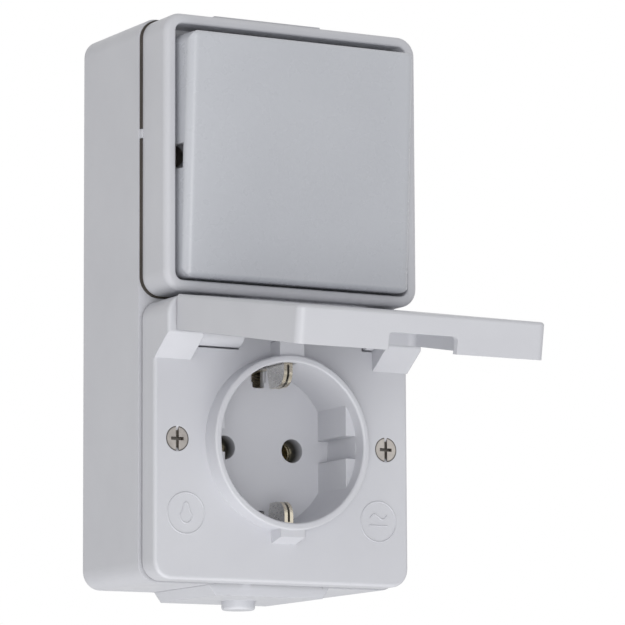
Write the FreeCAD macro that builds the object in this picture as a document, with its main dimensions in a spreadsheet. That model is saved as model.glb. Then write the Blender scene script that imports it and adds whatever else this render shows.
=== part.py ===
# Surface-mounted switch and earthed socket under one splash-proof housing.
# Frame: X to the right, +Z up, the front towards -Y, in millimetres.
# The origin is the middle of the flat back that lies on the wall.
# A depth is measured from the wall towards the front, so a point at depth d lies at Y = -d.
import FreeCAD, Part
import os
import re
import Sketcher
from FreeCAD import Placement, Rotation, Vector

os.makedirs("parts", exist_ok=True)
doc = FreeCAD.newDocument("SwitchAndSocket")
sheet = doc.addObject("Spreadsheet::Sheet", "Sizes")

# Driving sizes in millimetres and degrees
SIZES = {
    # Housing
    "box_width": 72.2,
    "box_height": 138.8,
    "box_depth": 30.3,
    "box_corner": 4.7,
    "box_wall": 2.2,
    "box_floor": 2.4,
    "room_corner": 2.5,
    "partition_width": 5.8,
    "partition_slot": 2.2,
    "partition_skin": 2.0,
    "wire_gap_width": 16.0,
    "wire_gap_height": 9.0,
    "wall_hole_radius": 2.3,
    "wall_hole_across": 44.0,
    "wall_hole_apart": 112.0,
    "knockout_radius": 9.0,
    "knockout_line": 0.8,
    "knockout_height": 42.0,
    "boss_radius": 3.6,
    "boss_rib": 2.4,
    "pilot_radius": 1.2,
    "pilot_depth": 14.0,
    # Cable entries in the top and bottom walls
    "entry_slot_half": 14.9,
    "entry_slot_start": 4.0,
    "entry_half": 16.8,
    "entry_taper": 1.9,
    "entry_proud": 2.6,
    "entry_back": 0.9,
    "entry_inner_half": 17.5,
    "entry_flange": 1.6,
    "entry_nub_radius": 4.2,
    "entry_nub_height": 2.3,
    "entry_nub_depth": 14.0,
    "entry_slack": 0.1,
    # Rubber rings between the housing and its two covers
    "seal_height": 0.9,
    "switch_seal_inset": -0.4,
    "socket_seal_inset": 0.6,
    "seal_width": 3.2,
    "nib_width": 2.2,
    "nib_thick": 0.5,
    "nib_slack": 0.15,
    "nib_height": 40.4,
    "nib_side": -6.5,
    # Switch cover frame
    "frame_width": 70.7,
    "frame_height": 68.45,
    "frame_low": 0.35,
    "frame_top_depth": 12.1,
    "frame_corner": 4.7,
    "frame_lip": 2.95,
    "frame_bottom_lip": 2.6,
    "opening_corner": 2.0,
    "frame_round": 1.6,
    "frame_inner_round": 0.5,
    "frame_floor_drop": 8.3,
    "frame_floor_thick": 2.0,
    "frame_window_half": 15.0,
    "frame_screw_inset": 6.25,
    "lug_inset": 9.4,
    "lug_thick": 2.2,
    "lug_half": 3.2,
    "lug_cap": 2.2,
    # Rocker
    "rocker_gap": 0.95,
    "rocker_top_gap": 2.0,
    "rocker_corner": 2.6,
    "rocker_proud": 4.7,
    "rocker_lift": 0.2,
    "rocker_skin": 2.0,
    "rocker_side_round": 2.2,
    "rocker_end_round": 1.3,
    "rocker_axis_rise": 2.0,
    "rocker_tilt": 3.3,
    "rocker_pin_radius": 1.2,
    "rocker_pin_slack": 0.08,
    "rocker_pin_reach": 0.4,
    "rocker_rib_gap": 0.8,
    "rocker_rib_thick": 2.2,
    "rocker_rib_half": 2.4,
    "rocker_peg_radius": 1.8,
    "rocker_peg_out": 9.0,
    "rocker_peg_reach": 2.1,
    "notch_height": 6.1,
    "notch_width": 2.0,
    "notch_drop": 0.9,
    "notch_bridge": 2.8,
    # Rubber membrane behind the rocker
    "membrane_half": 20.0,
    "membrane_thick": 1.0,
    "membrane_dome_radius": 3.0,
    "membrane_dome": 1.1,
    # Switch insert
    "switch_base_half": 20.0,
    "switch_base_back": 8.0,
    "switch_base_front": 26.4,
    "switch_base_corner": 2.0,
    "switch_room_half_x": 8.2,
    "switch_room_half_z": 14.5,
    "switch_room_floor": 9.8,
    "switch_ear_half": 4.5,
    "switch_ear_out": 26.0,
    "switch_ear_back": 20.0,
    "switch_ear_thick": 2.4,
    "cheek_thick": 2.4,
    "cheek_half": 3.6,
    "cheek_front": 30.2,
    # Toggle, its plunger and spring
    "toggle_axis_depth": 27.8,
    "toggle_half_x": 5.6,
    "toggle_half_z": 12.0,
    "toggle_plate_back": 28.6,
    "toggle_plate_thick": 1.7,
    "toggle_hub_radius": 2.6,
    "toggle_pin_radius": 1.2,
    "toggle_pin_slack": 0.08,
    "toggle_stem_radius": 2.3,
    "toggle_stem_end": 20.0,
    "toggle_ratio": 1.8,
    "plunger_radius": 1.5,
    "plunger_slack": 0.1,
    "plunger_head": 1.9,
    "plunger_tip": 15.6,
    "plunger_shoulder": 19.6,
    "plunger_inside": 21.6,
    "spring_radius": 1.15,
    "spring_wire": 0.22,
    "spring_pitch": 0.9,
    "spring_front": 26.2,
    # Contacts of the switch
    "lever_axis_depth": 14.2,
    "lever_half_x": 2.6,
    "lever_half_z": 10.5,
    "lever_thick": 1.0,
    "lever_pin_radius": 0.8,
    "lever_pin_slack": 0.08,
    "lever_ratio": 1.5,
    "lever_button_radius": 1.5,
    "lever_button": 0.6,
    "lever_button_out": 9.0,
    "cradle_ear": 1.2,
    "cradle_gap": 0.3,
    "anvil_front": 12.2,
    "anvil_half": 2.6,
    "anvil_strip": 1.0,
    "switch_clamp_half": 3.4,
    "switch_clamp_across": 13.6,
    "switch_clamp_up": 12.5,
    "switch_clamp_back": 12.0,
    "switch_clamp_front": 20.0,
    # Socket cover with its collar, recess and hinge blocks
    "plate_width": 70.8,
    "plate_height": 68.2,
    "plate_drop": 0.9,
    "plate_thick": 6.4,
    "plate_skin": 2.4,
    "plate_wall": 2.0,
    "plate_round": 0.9,
    "socket_drop": 35.0,
    "collar_radius": 21.5,
    "recess_radius": 19.75,
    "collar_front": 43.0,
    "collar_round": 0.5,
    "recess_floor": 24.8,
    "pot_floor": 2.0,
    "guide_half": 16.9,
    "guide_front": 39.0,
    "guide_groove": 5.6,
    "guide_groove_depth": 2.7,
    "pin_hole_radius": 2.95,
    "pin_spacing": 19.0,
    "tunnel_radius": 3.9,
    "tunnel_back": 18.2,
    "clip_slot_half": 1.62,
    "clip_slot_reach": 4.45,
    "clip_slot_corner": 0.5,
    "clip_channel_half": 2.1,
    "clip_notch": 0.9,
    "tab_half": 3.4,
    "top_tab_reach": 3.4,
    "latch_reach_front": 1.7,
    "latch_reach_back": 3.2,
    "cover_screw_inset": 6.3,
    "block_width": 10.0,
    "block_height": 15.6,
    "block_front_height": 10.2,
    "block_front": 45.0,
    "block_round": 0.8,
    # Hinge
    "hinge_depth": 38.1,
    "hinge_drop": 8.4,
    "hinge_barrel_radius": 3.6,
    "hinge_small_radius": 2.0,
    "hinge_trough": 0.4,
    "hinge_barrel_end": 12.6,
    "hinge_pin_radius": 1.0,
    "hinge_pin_slack": 0.06,
    "hinge_pin_fit": 0.02,
    "hinge_pin_inset": 1.35,
    "trough_backing": 2.8,
    "trough_half": 5.1,
    # Lid, measured in its closed position
    "lid_width": 66.6,
    "lid_reach": 67.9,
    "lid_rim_start": 7.5,
    "lid_face_start": 6.1,
    "lid_depth_hinge": 8.6,
    "lid_depth_free": 8.95,
    "lid_wall": 1.8,
    "lid_skin": 1.7,
    "lid_corner": 2.0,
    "lid_edge_round": 0.8,
    "lid_open_angle": 80.0,
    "lid_neck_gap": 0.5,
    "lid_neck_reach": 0.6,
    "lid_arm": 1.8,
    "lid_inner_arm_reach": 6.8,
    "lid_end_gap_half": 15.5,
    "lid_notch_half": 9.2,
    "lid_notch_depth": 4.1,
    "lid_notch_corner": 0.9,
    "ring_outer": 22.6,
    "ring_inner": 18.6,
    "ring_thick": 1.6,
    # Socket insert
    "socket_base_half": 18.5,
    "socket_base_back": 3.7,
    "socket_base_corner": 3.0,
    "socket_base_slack": 0.3,
    "socket_ear_across": 20.5,
    "socket_ear_up": 20.5,
    "socket_ear_back": 14.0,
    "socket_ear_thick": 2.4,
    "sleeve_radius": 3.3,
    "sleeve_bore": 2.45,
    "sleeve_back": 6.5,
    "sleeve_front": 18.0,
    "sleeve_end_room": 1.2,
    "sleeve_slit": 0.7,
    "sleeve_slit_end": 12.5,
    "clamp_half": 3.6,
    "clamp_drop": 11.5,
    "clamp_back": 12.0,
    "clamp_front": 20.0,
    "tail_thick": 1.2,
    "tail_drop": 1.5,
    "earth_width": 6.5,
    "earth_clamp_up": 8.0,
    "earth_thick": 0.9,
    "earth_bar_depth": 19.6,
    "clip_root": 20.25,
    "clip_half": 1.2,
    "clip_gap": 0.6,
    "clip_back": 31.4,
    "clip_lean": 1.5,
    "clip_front": 40.4,
    "clip_peak": 14.1,
    "clip_nose": 3.6,
    "clip_heel": 0.6,
    # Screws
    "screw_radius": 1.45,
    "screw_head_radius": 3.05,
    "screw_length": 15.0,
    "screw_slot": 0.8,
    "screw_slot_depth": 0.9,
    "screw_cross": 1.7,
    "small_screw_radius": 1.4,
    "small_head_radius": 2.6,
    "small_head_height": 1.7,
    "small_screw_length": 10.0,
    "clamp_screw_radius": 1.3,
    "clamp_screw_head": 2.2,
    "clamp_screw_length": 6.0,
}

for row, (alias, amount) in enumerate(SIZES.items(), start=1):
    sheet.set("A%d" % row, alias)
    sheet.set("B%d" % row, str(amount))
    sheet.setAlias("B%d" % row, alias)

# Sizes and places that follow from the driving ones
FOLLOWING = {
    "frame_floor_front": "box_depth + seal_height + frame_top_depth - frame_floor_drop",
    "frame_floor_back": "frame_floor_front - frame_floor_thick",
    "frame_screw_place": "frame_width / 2 - frame_screw_inset",
    "lug_inner": "frame_width / 2 - frame_lip - lug_inset",
    "lug_outer": "lug_inner + lug_thick",
    "rocker_axis_depth": "frame_floor_front + rocker_axis_rise",
    "lug_front": "rocker_axis_depth + lug_cap",
    "rocker_back": "rocker_axis_depth + rocker_lift",
    "rocker_face": "box_depth + seal_height + frame_top_depth + rocker_proud",
    "rocker_rib_outer": "lug_inner - rocker_rib_gap",
    "rocker_rib_inner": "rocker_rib_outer - rocker_rib_thick",
    "rocker_pin_end": "lug_outer + rocker_pin_reach",
    "rocker_peg_back": "rocker_axis_depth - rocker_peg_reach",
    "toggle_turn": "rocker_tilt * toggle_ratio",
    "lever_turn": "rocker_tilt * lever_ratio",
    "cover_screw_place": "plate_width / 2 - cover_screw_inset",
    "hinge_pin_end": "plate_width / 2 - hinge_pin_inset",
    "lid_neck_half": "plate_width / 2 - block_width - lid_neck_gap",
}
for row, (alias, formula) in enumerate(FOLLOWING.items(), start=len(SIZES) + 1):
    sheet.set("A%d" % row, alias)
    sheet.set("B%d" % row, "=" + formula)
    sheet.setAlias("B%d" % row, alias)
doc.recompute()
ALIASES = {**SIZES, **FOLLOWING}

# Places that several pieces share, written with the sizes above
COVER_BACK = "(box_depth + seal_height)"
FRAME_FRONT = "(box_depth + seal_height + frame_top_depth)"
PLATE_FRONT = "(box_depth + seal_height + plate_thick)"
SWITCH_Z = "(frame_low + frame_height / 2)"
SOCKET_Z = "(0 - socket_drop)"
PLATE_TOP = "(0 - plate_drop)"
PLATE_LOW = "(0 - plate_drop - plate_height)"
OPENING_LOW = "(frame_low + frame_bottom_lip)"
OPENING_HIGH = "(frame_low + frame_height - frame_bottom_lip)"
OPENING_HALF = "(frame_width / 2 - frame_lip)"
POT_BACK = "(recess_floor - pot_floor)"
BASE_TOP = "(recess_floor - pot_floor - socket_base_slack)"


def cells(text):
    """Turn size names in a formula into references to the sheet."""
    return re.sub(r"[a-z]\w*", lambda word: "Sizes." + word[0] if word[0] in ALIASES else word[0], text)


def number(text):
    """Work out a formula from the sheet's present values."""
    return float(sheet.evalExpression(cells(text)))


def bind(thing, path, text):
    thing.setExpression(path, cells(text))


# Sketching

def hold_point(sketch, edge, end, across, up):
    """Tie one end of an edge to its distances from the sketch's origin."""
    for kind, text in (("DistanceX", across), ("DistanceY", up)):
        index = sketch.addConstraint(Sketcher.Constraint(kind, -1, 1, edge, end, number(text)))
        bind(sketch, "Constraints[%d]" % index, text)


def outline(sketch, corners):
    """A closed outline of straight edges through corners given as formulas."""
    points = [Vector(number(across), number(up), 0) for across, up in corners]
    edges = []
    for start, stop in zip(points, points[1:] + points[:1]):
        edges.append(sketch.addGeometry(Part.LineSegment(start, stop)))
    for edge, following in zip(edges, edges[1:] + edges[:1]):
        sketch.addConstraint(Sketcher.Constraint("Coincident", edge, 2, following, 1))
    for edge, (across, up) in zip(edges, corners):
        hold_point(sketch, edge, 1, across, up)


def rectangle(sketch, left, right, low, high, corner=None):
    """A rectangle between two sides and two heights, with rounded corners if asked."""
    if corner is None:
        outline(sketch, [(left, low), (right, low), (right, high), (left, high)])
        return
    x0, x1, z0, z1, r = (number(text) for text in (left, right, low, high, corner))
    ends = [
        (Vector(x0 + r, z0, 0), Vector(x1 - r, z0, 0)),
        (Vector(x1, z0 + r, 0), Vector(x1, z1 - r, 0)),
        (Vector(x1 - r, z1, 0), Vector(x0 + r, z1, 0)),
        (Vector(x0, z1 - r, 0), Vector(x0, z0 + r, 0)),
    ]
    centres = [(x1 - r, z0 + r, 270), (x1 - r, z1 - r, 0), (x0 + r, z1 - r, 90), (x0 + r, z0 + r, 180)]
    sides = [sketch.addGeometry(Part.LineSegment(start, stop)) for start, stop in ends]
    bends = []
    for across, up, turn in centres:
        circle_line = Part.Circle(Vector(across, up, 0), Vector(0, 0, 1), r)
        begin = FreeCAD.Units.Quantity("%d deg" % turn).getValueAs("rad").Value
        arc = Part.ArcOfCircle(circle_line, begin, begin + 1.5707963267948966)
        bends.append(sketch.addGeometry(arc))
    for side, bend, following in zip(sides, bends, sides[1:] + sides[:1]):
        sketch.addConstraint(Sketcher.Constraint("Tangent", side, 2, bend, 1))
        sketch.addConstraint(Sketcher.Constraint("Tangent", bend, 2, following, 1))
    for side, kind in zip(sides, ("Horizontal", "Vertical", "Horizontal", "Vertical")):
        sketch.addConstraint(Sketcher.Constraint(kind, side))
    for bend in bends[1:]:
        sketch.addConstraint(Sketcher.Constraint("Equal", bends[0], bend))
    index = sketch.addConstraint(Sketcher.Constraint("Radius", bends[0], r))
    bind(sketch, "Constraints[%d]" % index, corner)
    limits = [("DistanceY", sides[0], low), ("DistanceX", sides[1], right),
              ("DistanceY", sides[2], high), ("DistanceX", sides[3], left)]
    for kind, side, text in limits:
        index = sketch.addConstraint(Sketcher.Constraint(kind, -1, 1, side, 1, number(text)))
        bind(sketch, "Constraints[%d]" % index, text)


def circle(sketch, across, up, radius):
    middle = Vector(number(across), number(up), 0)
    edge = sketch.addGeometry(Part.Circle(middle, Vector(0, 0, 1), number(radius)))
    hold_point(sketch, edge, 3, across, up)
    index = sketch.addConstraint(Sketcher.Constraint("Radius", edge, number(radius)))
    bind(sketch, "Constraints[%d]" % index, radius)


# Features of a body: each runs between a low and a high place along the plane's normal.
# On the upright plane the normal is the depth, on the side plane X and on the level plane Z.

UPRIGHT, SIDE, LEVEL = "XZ_Plane", "YZ_Plane", "XY_Plane"


def new_body(label):
    body = doc.addObject("PartDesign::Body", label)
    body.Label = label
    return body


def sketch_at(body, name, plane, place, draw):
    sketch = body.newObject("Sketcher::SketchObject", name + "Sketch")
    support = [item for item in body.Origin.OriginFeatures if item.Role == plane][0]
    sketch.AttachmentSupport = [(support, "")]
    sketch.MapMode = "FlatFace"
    bind(sketch, "AttachmentOffset.Base.z", place)
    draw(sketch)
    return sketch


def pad(body, name, low, high, draw, plane=UPRIGHT):
    feature = body.newObject("PartDesign::Pad", name)
    feature.Profile = sketch_at(body, name, plane, low, draw)
    bind(feature, "Length", "(%s) - (%s)" % (high, low))
    body.Tip = feature
    doc.recompute()
    return feature


def pocket(body, name, low, high, draw, plane=UPRIGHT):
    before = body.Shape.Volume
    feature = body.newObject("PartDesign::Pocket", name)
    feature.Profile = sketch_at(body, name, plane, high, draw)
    bind(feature, "Length", "(%s) - (%s)" % (high, low))
    body.Tip = feature
    doc.recompute()
    if body.Shape.Volume >= before:
        raise RuntimeError("the cut %s takes nothing away" % name)
    return feature


def round_edges(body, name, radius, chosen):
    """Round the edges of the body's last feature for which chosen(edge) is true."""
    last = body.Tip
    names = ["Edge%d" % (index + 1) for index, edge in enumerate(last.Shape.Edges) if chosen(edge)]
    feature = body.newObject("PartDesign::Fillet", name)
    feature.Base = (last, names)
    bind(feature, "Radius", radius)
    body.Tip = feature
    doc.recompute()
    if not names or feature.Shape.isNull():
        raise RuntimeError("the rounding %s fails on %d edges" % (name, len(names)))
    return feature


def at_depth(edge, depth, slack=0.01):
    box = edge.BoundBox
    return abs(box.YMin + depth) < slack and abs(box.YMax + depth) < slack


# Simple solids for small pieces, placed by formulas

def block(name, left, right, back, front, low, high):
    box = doc.addObject("Part::Box", name)
    bind(box, "Placement.Base.x", left)
    bind(box, "Placement.Base.y", "0 - (%s)" % front)
    bind(box, "Placement.Base.z", low)
    bind(box, "Length", "(%s) - (%s)" % (right, left))
    bind(box, "Width", "(%s) - (%s)" % (front, back))
    bind(box, "Height", "(%s) - (%s)" % (high, low))
    return box


def rod(name, across, height, back, front, radius):
    """A round bar along the depth."""
    bar = doc.addObject("Part::Cylinder", name)
    bar.Placement = Placement(Vector(), Rotation(Vector(1, 0, 0), 90))
    bind(bar, "Placement.Base.x", across)
    bind(bar, "Placement.Base.y", "0 - (%s)" % back)
    bind(bar, "Placement.Base.z", height)
    bind(bar, "Radius", radius)
    bind(bar, "Height", "(%s) - (%s)" % (front, back))
    return bar


def axle(name, left, right, depth, height, radius):
    """A round bar along X."""
    bar = doc.addObject("Part::Cylinder", name)
    bar.Placement = Placement(Vector(), Rotation(Vector(0, 1, 0), 90))
    bind(bar, "Placement.Base.x", left)
    bind(bar, "Placement.Base.y", "0 - (%s)" % depth)
    bind(bar, "Placement.Base.z", height)
    bind(bar, "Radius", radius)
    bind(bar, "Height", "(%s) - (%s)" % (right, left))
    return bar


def cone(name, across, height, back, front, back_radius, front_radius):
    """A taper along the depth."""
    taper = doc.addObject("Part::Cone", name)
    taper.Placement = Placement(Vector(), Rotation(Vector(1, 0, 0), 90))
    bind(taper, "Placement.Base.x", across)
    bind(taper, "Placement.Base.y", "0 - (%s)" % back)
    bind(taper, "Placement.Base.z", height)
    bind(taper, "Radius1", back_radius)
    bind(taper, "Radius2", front_radius)
    bind(taper, "Height", "(%s) - (%s)" % (front, back))
    return taper


def fused(label, pieces):
    union = doc.addObject("Part::MultiFuse", label)
    union.Label = label
    union.Shapes = pieces
    union.Refine = True
    return union


def cut(label, base, tools):
    tool = tools[0] if len(tools) == 1 else fused(label + "Tools", tools)
    difference = doc.addObject("Part::Cut", label)
    difference.Label = label
    difference.Base = base
    difference.Tool = tool
    difference.Refine = True
    return difference


def group(label, pieces):
    """Like pieces that share one node as separate solids."""
    together = doc.addObject("Part::Compound", label)
    together.Label = label
    together.Links = pieces
    return together


# Housing

def make_back_box():
    """One moulded shell with a room for each insert, screw bosses and two cable openings."""
    body = new_body("back_box")
    half = "box_width / 2"
    tall = "box_height / 2"
    pad(body, "Shell", "0", "box_depth",
        lambda s: rectangle(s, "0 - " + half, half, "0 - " + tall, tall, "box_corner"))
    inner = "(box_width / 2 - box_wall)"
    far = "(box_height / 2 - box_wall)"
    near = "(partition_width / 2)"
    pocket(body, "SwitchRoom", "box_floor", "box_depth",
           lambda s: rectangle(s, "0 - " + inner, inner, near, far, "room_corner"))
    pocket(body, "SocketRoom", "box_floor", "box_depth",
           lambda s: rectangle(s, "0 - " + inner, inner, "0 - " + far, "0 - " + near, "room_corner"))
    # The partition is cored out from the back, and a window lets the wires through
    slot = "(partition_slot / 2)"
    pocket(body, "PartitionCore", "0 - 1", "box_depth - partition_skin",
           lambda s: rectangle(s, "2 * box_wall - " + half, half + " - 2 * box_wall", "0 - " + slot, slot))
    pocket(body, "WireWindow", "box_floor", "box_floor + wire_gap_height",
           lambda s: rectangle(s, "0 - wire_gap_width / 2", "wire_gap_width / 2",
                               "0 - partition_width / 2 - 1", "partition_width / 2 + 1"))
    # Bosses for the cover screws stand beside the side walls
    rows = ((SWITCH_Z, "frame_screw_place"), (SOCKET_Z, "cover_screw_place"))
    post_top = "(box_depth - 0.3)"

    def four_posts(sketch, radius):
        for height, post in rows:
            circle(sketch, "0 - " + post, height, radius)
            circle(sketch, post, height, radius)

    pad(body, "CoverBosses", "box_floor - 0.5", post_top, lambda s: four_posts(s, "boss_radius"))

    def boss_ribs(sketch):
        for height, post in rows:
            low, high = height + " - boss_rib / 2", height + " + boss_rib / 2"
            rectangle(sketch, "0 - " + inner + " - 0.3", "0 - " + post + " - boss_radius / 2", low, high)
            rectangle(sketch, post + " + boss_radius / 2", inner + " + 0.3", low, high)

    pad(body, "BossRibs", "box_floor - 0.5", post_top, boss_ribs)

    def insert_posts(sketch, radius):
        circle(sketch, "0", SWITCH_Z + " + switch_ear_out", radius)
        circle(sketch, "0", SWITCH_Z + " - switch_ear_out", radius)

    pad(body, "SwitchPosts", "box_floor - 0.5", "switch_ear_back",
        lambda s: insert_posts(s, "boss_radius - 0.4"))

    def socket_posts(sketch, radius):
        circle(sketch, "socket_ear_across", SOCKET_Z + " + socket_ear_up", radius)
        circle(sketch, "0 - socket_ear_across", SOCKET_Z + " - socket_ear_up", radius)

    pad(body, "SocketPosts", "box_floor - 0.5", "socket_ear_back",
        lambda s: socket_posts(s, "boss_radius - 0.4"))
    pocket(body, "CoverPilots", post_top + " - pilot_depth", "box_depth",
           lambda s: four_posts(s, "pilot_radius"))
    pocket(body, "SwitchPilots", "switch_ear_back - pilot_depth", "switch_ear_back + 1",
           lambda s: insert_posts(s, "pilot_radius"))
    pocket(body, "SocketPilots", "box_floor + 1", "socket_ear_back + 1",
           lambda s: socket_posts(s, "pilot_radius"))
    # Openings for the cable entries run out to the front edge
    opening = lambda s: rectangle(s, "0 - entry_slot_half - entry_slack", "entry_slot_half + entry_slack",
                                  "0 - box_depth - 1", "0 - entry_slot_start")
    pocket(body, "TopOpening", "box_height / 2 - box_wall - 0.5", "box_height / 2 + 1", opening, LEVEL)
    pocket(body, "BottomOpening", "0 - box_height / 2 - 1", "0 - box_height / 2 + box_wall + 0.5",
           opening, LEVEL)

    def wall_holes(sketch):
        for side in ("", "0 - "):
            for end in ("", "0 - "):
                circle(sketch, side + "wall_hole_across / 2", end + "wall_hole_apart / 2",
                       "wall_hole_radius")

    pocket(body, "WallHoles", "0 - 1", "box_floor + 1", wall_holes)

    def knockouts(sketch):
        for end in ("", "0 - "):
            circle(sketch, "0", end + "knockout_height", "knockout_radius")
            circle(sketch, "0", end + "knockout_height", "knockout_radius - knockout_line")

    pocket(body, "KnockoutLines", "0 - 1", "knockout_line", knockouts)
    return body


def make_cable_entry(label, sign):
    """A plastic insert slid into an end wall, with a round knock-out nub in its middle."""
    body = new_body(label)
    face = sign + "box_height / 2"
    outer = sign + "(box_height / 2 + entry_proud)"
    wall = sign + "(box_height / 2 - box_wall)"
    flange = sign + "(box_height / 2 - box_wall - entry_flange)"
    front = "(box_depth - entry_slack)"
    back = "(entry_slot_start + entry_slack)"
    pad(body, "Cap", "entry_back", front, lambda s: outline(s, [
        ("0 - entry_half", face), ("entry_half", face),
        ("entry_half - entry_taper", outer), ("entry_taper - entry_half", outer)]))
    pad(body, "Neck", back, front, lambda s: rectangle(
        s, "0 - entry_slot_half", "entry_slot_half", *sorted((face, wall), key=number)))
    pad(body, "Flange", back, front, lambda s: rectangle(
        s, "0 - entry_inner_half", "entry_inner_half", *sorted((wall, flange), key=number)))
    nub = sign + "(box_height / 2 + entry_proud + entry_nub_height)"
    low, high = sorted((outer, nub), key=number)
    pad(body, "Nub", low, high, lambda s: circle(s, "0", "0 - entry_nub_depth", "entry_nub_radius"), LEVEL)
    end = number(nub)
    round_edges(body, "NubRound", "entry_nub_height / 3",
                lambda edge: abs(edge.BoundBox.ZMax - end) < 0.01 and edge.BoundBox.ZLength < 0.01)
    return body


def make_seal(label, width, low, high, corner, start):
    """A flat rubber ring on the housing's rim that starts a little off the cover's edge."""
    body = new_body(label)

    def ring(sketch):
        for inset, bend in ((start, "%s - (%s)" % (corner, start)), (start + " + seal_width", "1.5")):
            rectangle(sketch, "%s - %s / 2" % (inset, width), "%s / 2 - (%s)" % (width, inset),
                      "%s + %s" % (low, inset), "%s - (%s)" % (high, inset), bend)

    pad(body, "Ring", "box_depth", COVER_BACK, ring)
    return body


def make_switch_gasket():
    """The switch's ring stands out past the frame, with a gap on each side for the frame's nib."""
    body = make_seal("switch_gasket", "frame_width", "frame_low", "(frame_low + frame_height)",
                     "frame_corner", "switch_seal_inset")
    near, far = "(frame_width / 2 - nib_thick - nib_slack)", "(frame_width / 2 + 2)"
    low = "(nib_height - nib_width / 2 - nib_slack)"

    def gaps(sketch):
        for left, right in (("0 - " + far, "0 - " + near), (near, far)):
            rectangle(sketch, left, right, low, low + " + nib_width + 2 * nib_slack")

    pocket(body, "NibGaps", "box_depth - 1", COVER_BACK + " + 1", gaps)
    return body


# Switch

def make_switch_frame():
    """The switch's cover: a deep frame with a rounded lip and two bearing lugs for the rocker."""
    body = new_body("switch_frame")
    top = "(frame_low + frame_height)"

    def ring(sketch):
        rectangle(sketch, "0 - frame_width / 2", "frame_width / 2", "frame_low", top, "frame_corner")
        rectangle(sketch, "0 - " + OPENING_HALF, OPENING_HALF, OPENING_LOW, OPENING_HIGH, "opening_corner")

    pad(body, "Wall", COVER_BACK, FRAME_FRONT, ring)
    front = number(FRAME_FRONT)
    half, low, high = number("frame_width / 2"), number("frame_low"), number(top)

    def on_outline(edge):
        box = edge.BoundBox
        reach = (half - box.XMax, half + box.XMin, high - box.ZMax, box.ZMin - low)
        return min(abs(gap) for gap in reach) < 0.02

    round_edges(body, "InnerRound", "frame_inner_round",
                lambda edge: at_depth(edge, front) and not on_outline(edge))
    round_edges(body, "OuterRound", "frame_round",
                lambda edge: at_depth(edge, front) and on_outline(edge))

    def floor(sketch):
        rectangle(sketch, "0 - " + OPENING_HALF + " - 0.5", OPENING_HALF + " + 0.5",
                  OPENING_LOW + " - 0.5", OPENING_HIGH + " + 0.5", "opening_corner")
        rectangle(sketch, "0 - frame_window_half", "frame_window_half",
                  SWITCH_Z + " - frame_window_half", SWITCH_Z + " + frame_window_half", "2")

    pad(body, "Floor", "frame_floor_back", "frame_floor_front", floor)

    def lug(sketch):
        outline(sketch, [
            ("0.5 - frame_floor_front", SWITCH_Z + " - lug_half - 1"),
            ("0.5 - frame_floor_front", SWITCH_Z + " + lug_half + 1"),
            ("1.8 - lug_front", SWITCH_Z + " + lug_half"),
            ("0 - lug_front", SWITCH_Z + " + lug_half - 1.4"),
            ("0 - lug_front", SWITCH_Z + " - lug_half + 1.4"),
            ("1.8 - lug_front", SWITCH_Z + " - lug_half")])

    pad(body, "RightLug", "lug_inner", "lug_outer", lug, SIDE)
    pad(body, "LeftLug", "0 - lug_outer", "0 - lug_inner", lug, SIDE)
    bore = lambda s: circle(s, "0 - rocker_axis_depth", SWITCH_Z, "rocker_pin_radius + rocker_pin_slack")
    pocket(body, "RightBore", "lug_inner - 0.5", "lug_outer + 0.5", bore, SIDE)
    pocket(body, "LeftBore", "0 - lug_outer - 0.5", "0 - lug_inner + 0.5", bore, SIDE)

    def screw_holes(sketch, radius):
        circle(sketch, "0 - frame_screw_place", SWITCH_Z, radius)
        circle(sketch, "frame_screw_place", SWITCH_Z, radius)

    pocket(body, "ScrewHoles", "frame_floor_back - 1", "frame_floor_front + 1",
           lambda s: screw_holes(s, "screw_radius + 0.15"))
    pocket(body, "ScrewSeats", "frame_floor_front - 1", "frame_floor_front + 1",
           lambda s: screw_holes(s, "small_head_radius + 0.15"))
    # Small nibs bridge the rubber ring at the sides
    nib_low = "(nib_height - nib_width / 2)"
    near, far = "(frame_width / 2 - nib_thick)", "(frame_width / 2 - switch_seal_inset)"

    def nibs(sketch):
        rectangle(sketch, "0 - " + far, "0 - " + near, nib_low, nib_low + " + nib_width")
        rectangle(sketch, near, far, nib_low, nib_low + " + nib_width")

    pad(body, "Nibs", "box_depth", COVER_BACK + " + 0.2", nibs)
    return body


def rocker_turn():
    """The rocker's place at rest: its lower end pressed in."""
    middle = Vector(0, -number("rocker_axis_depth"), number(SWITCH_Z))
    return Placement(Vector(), Rotation(Vector(1, 0, 0), number("rocker_tilt")), middle)


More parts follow.
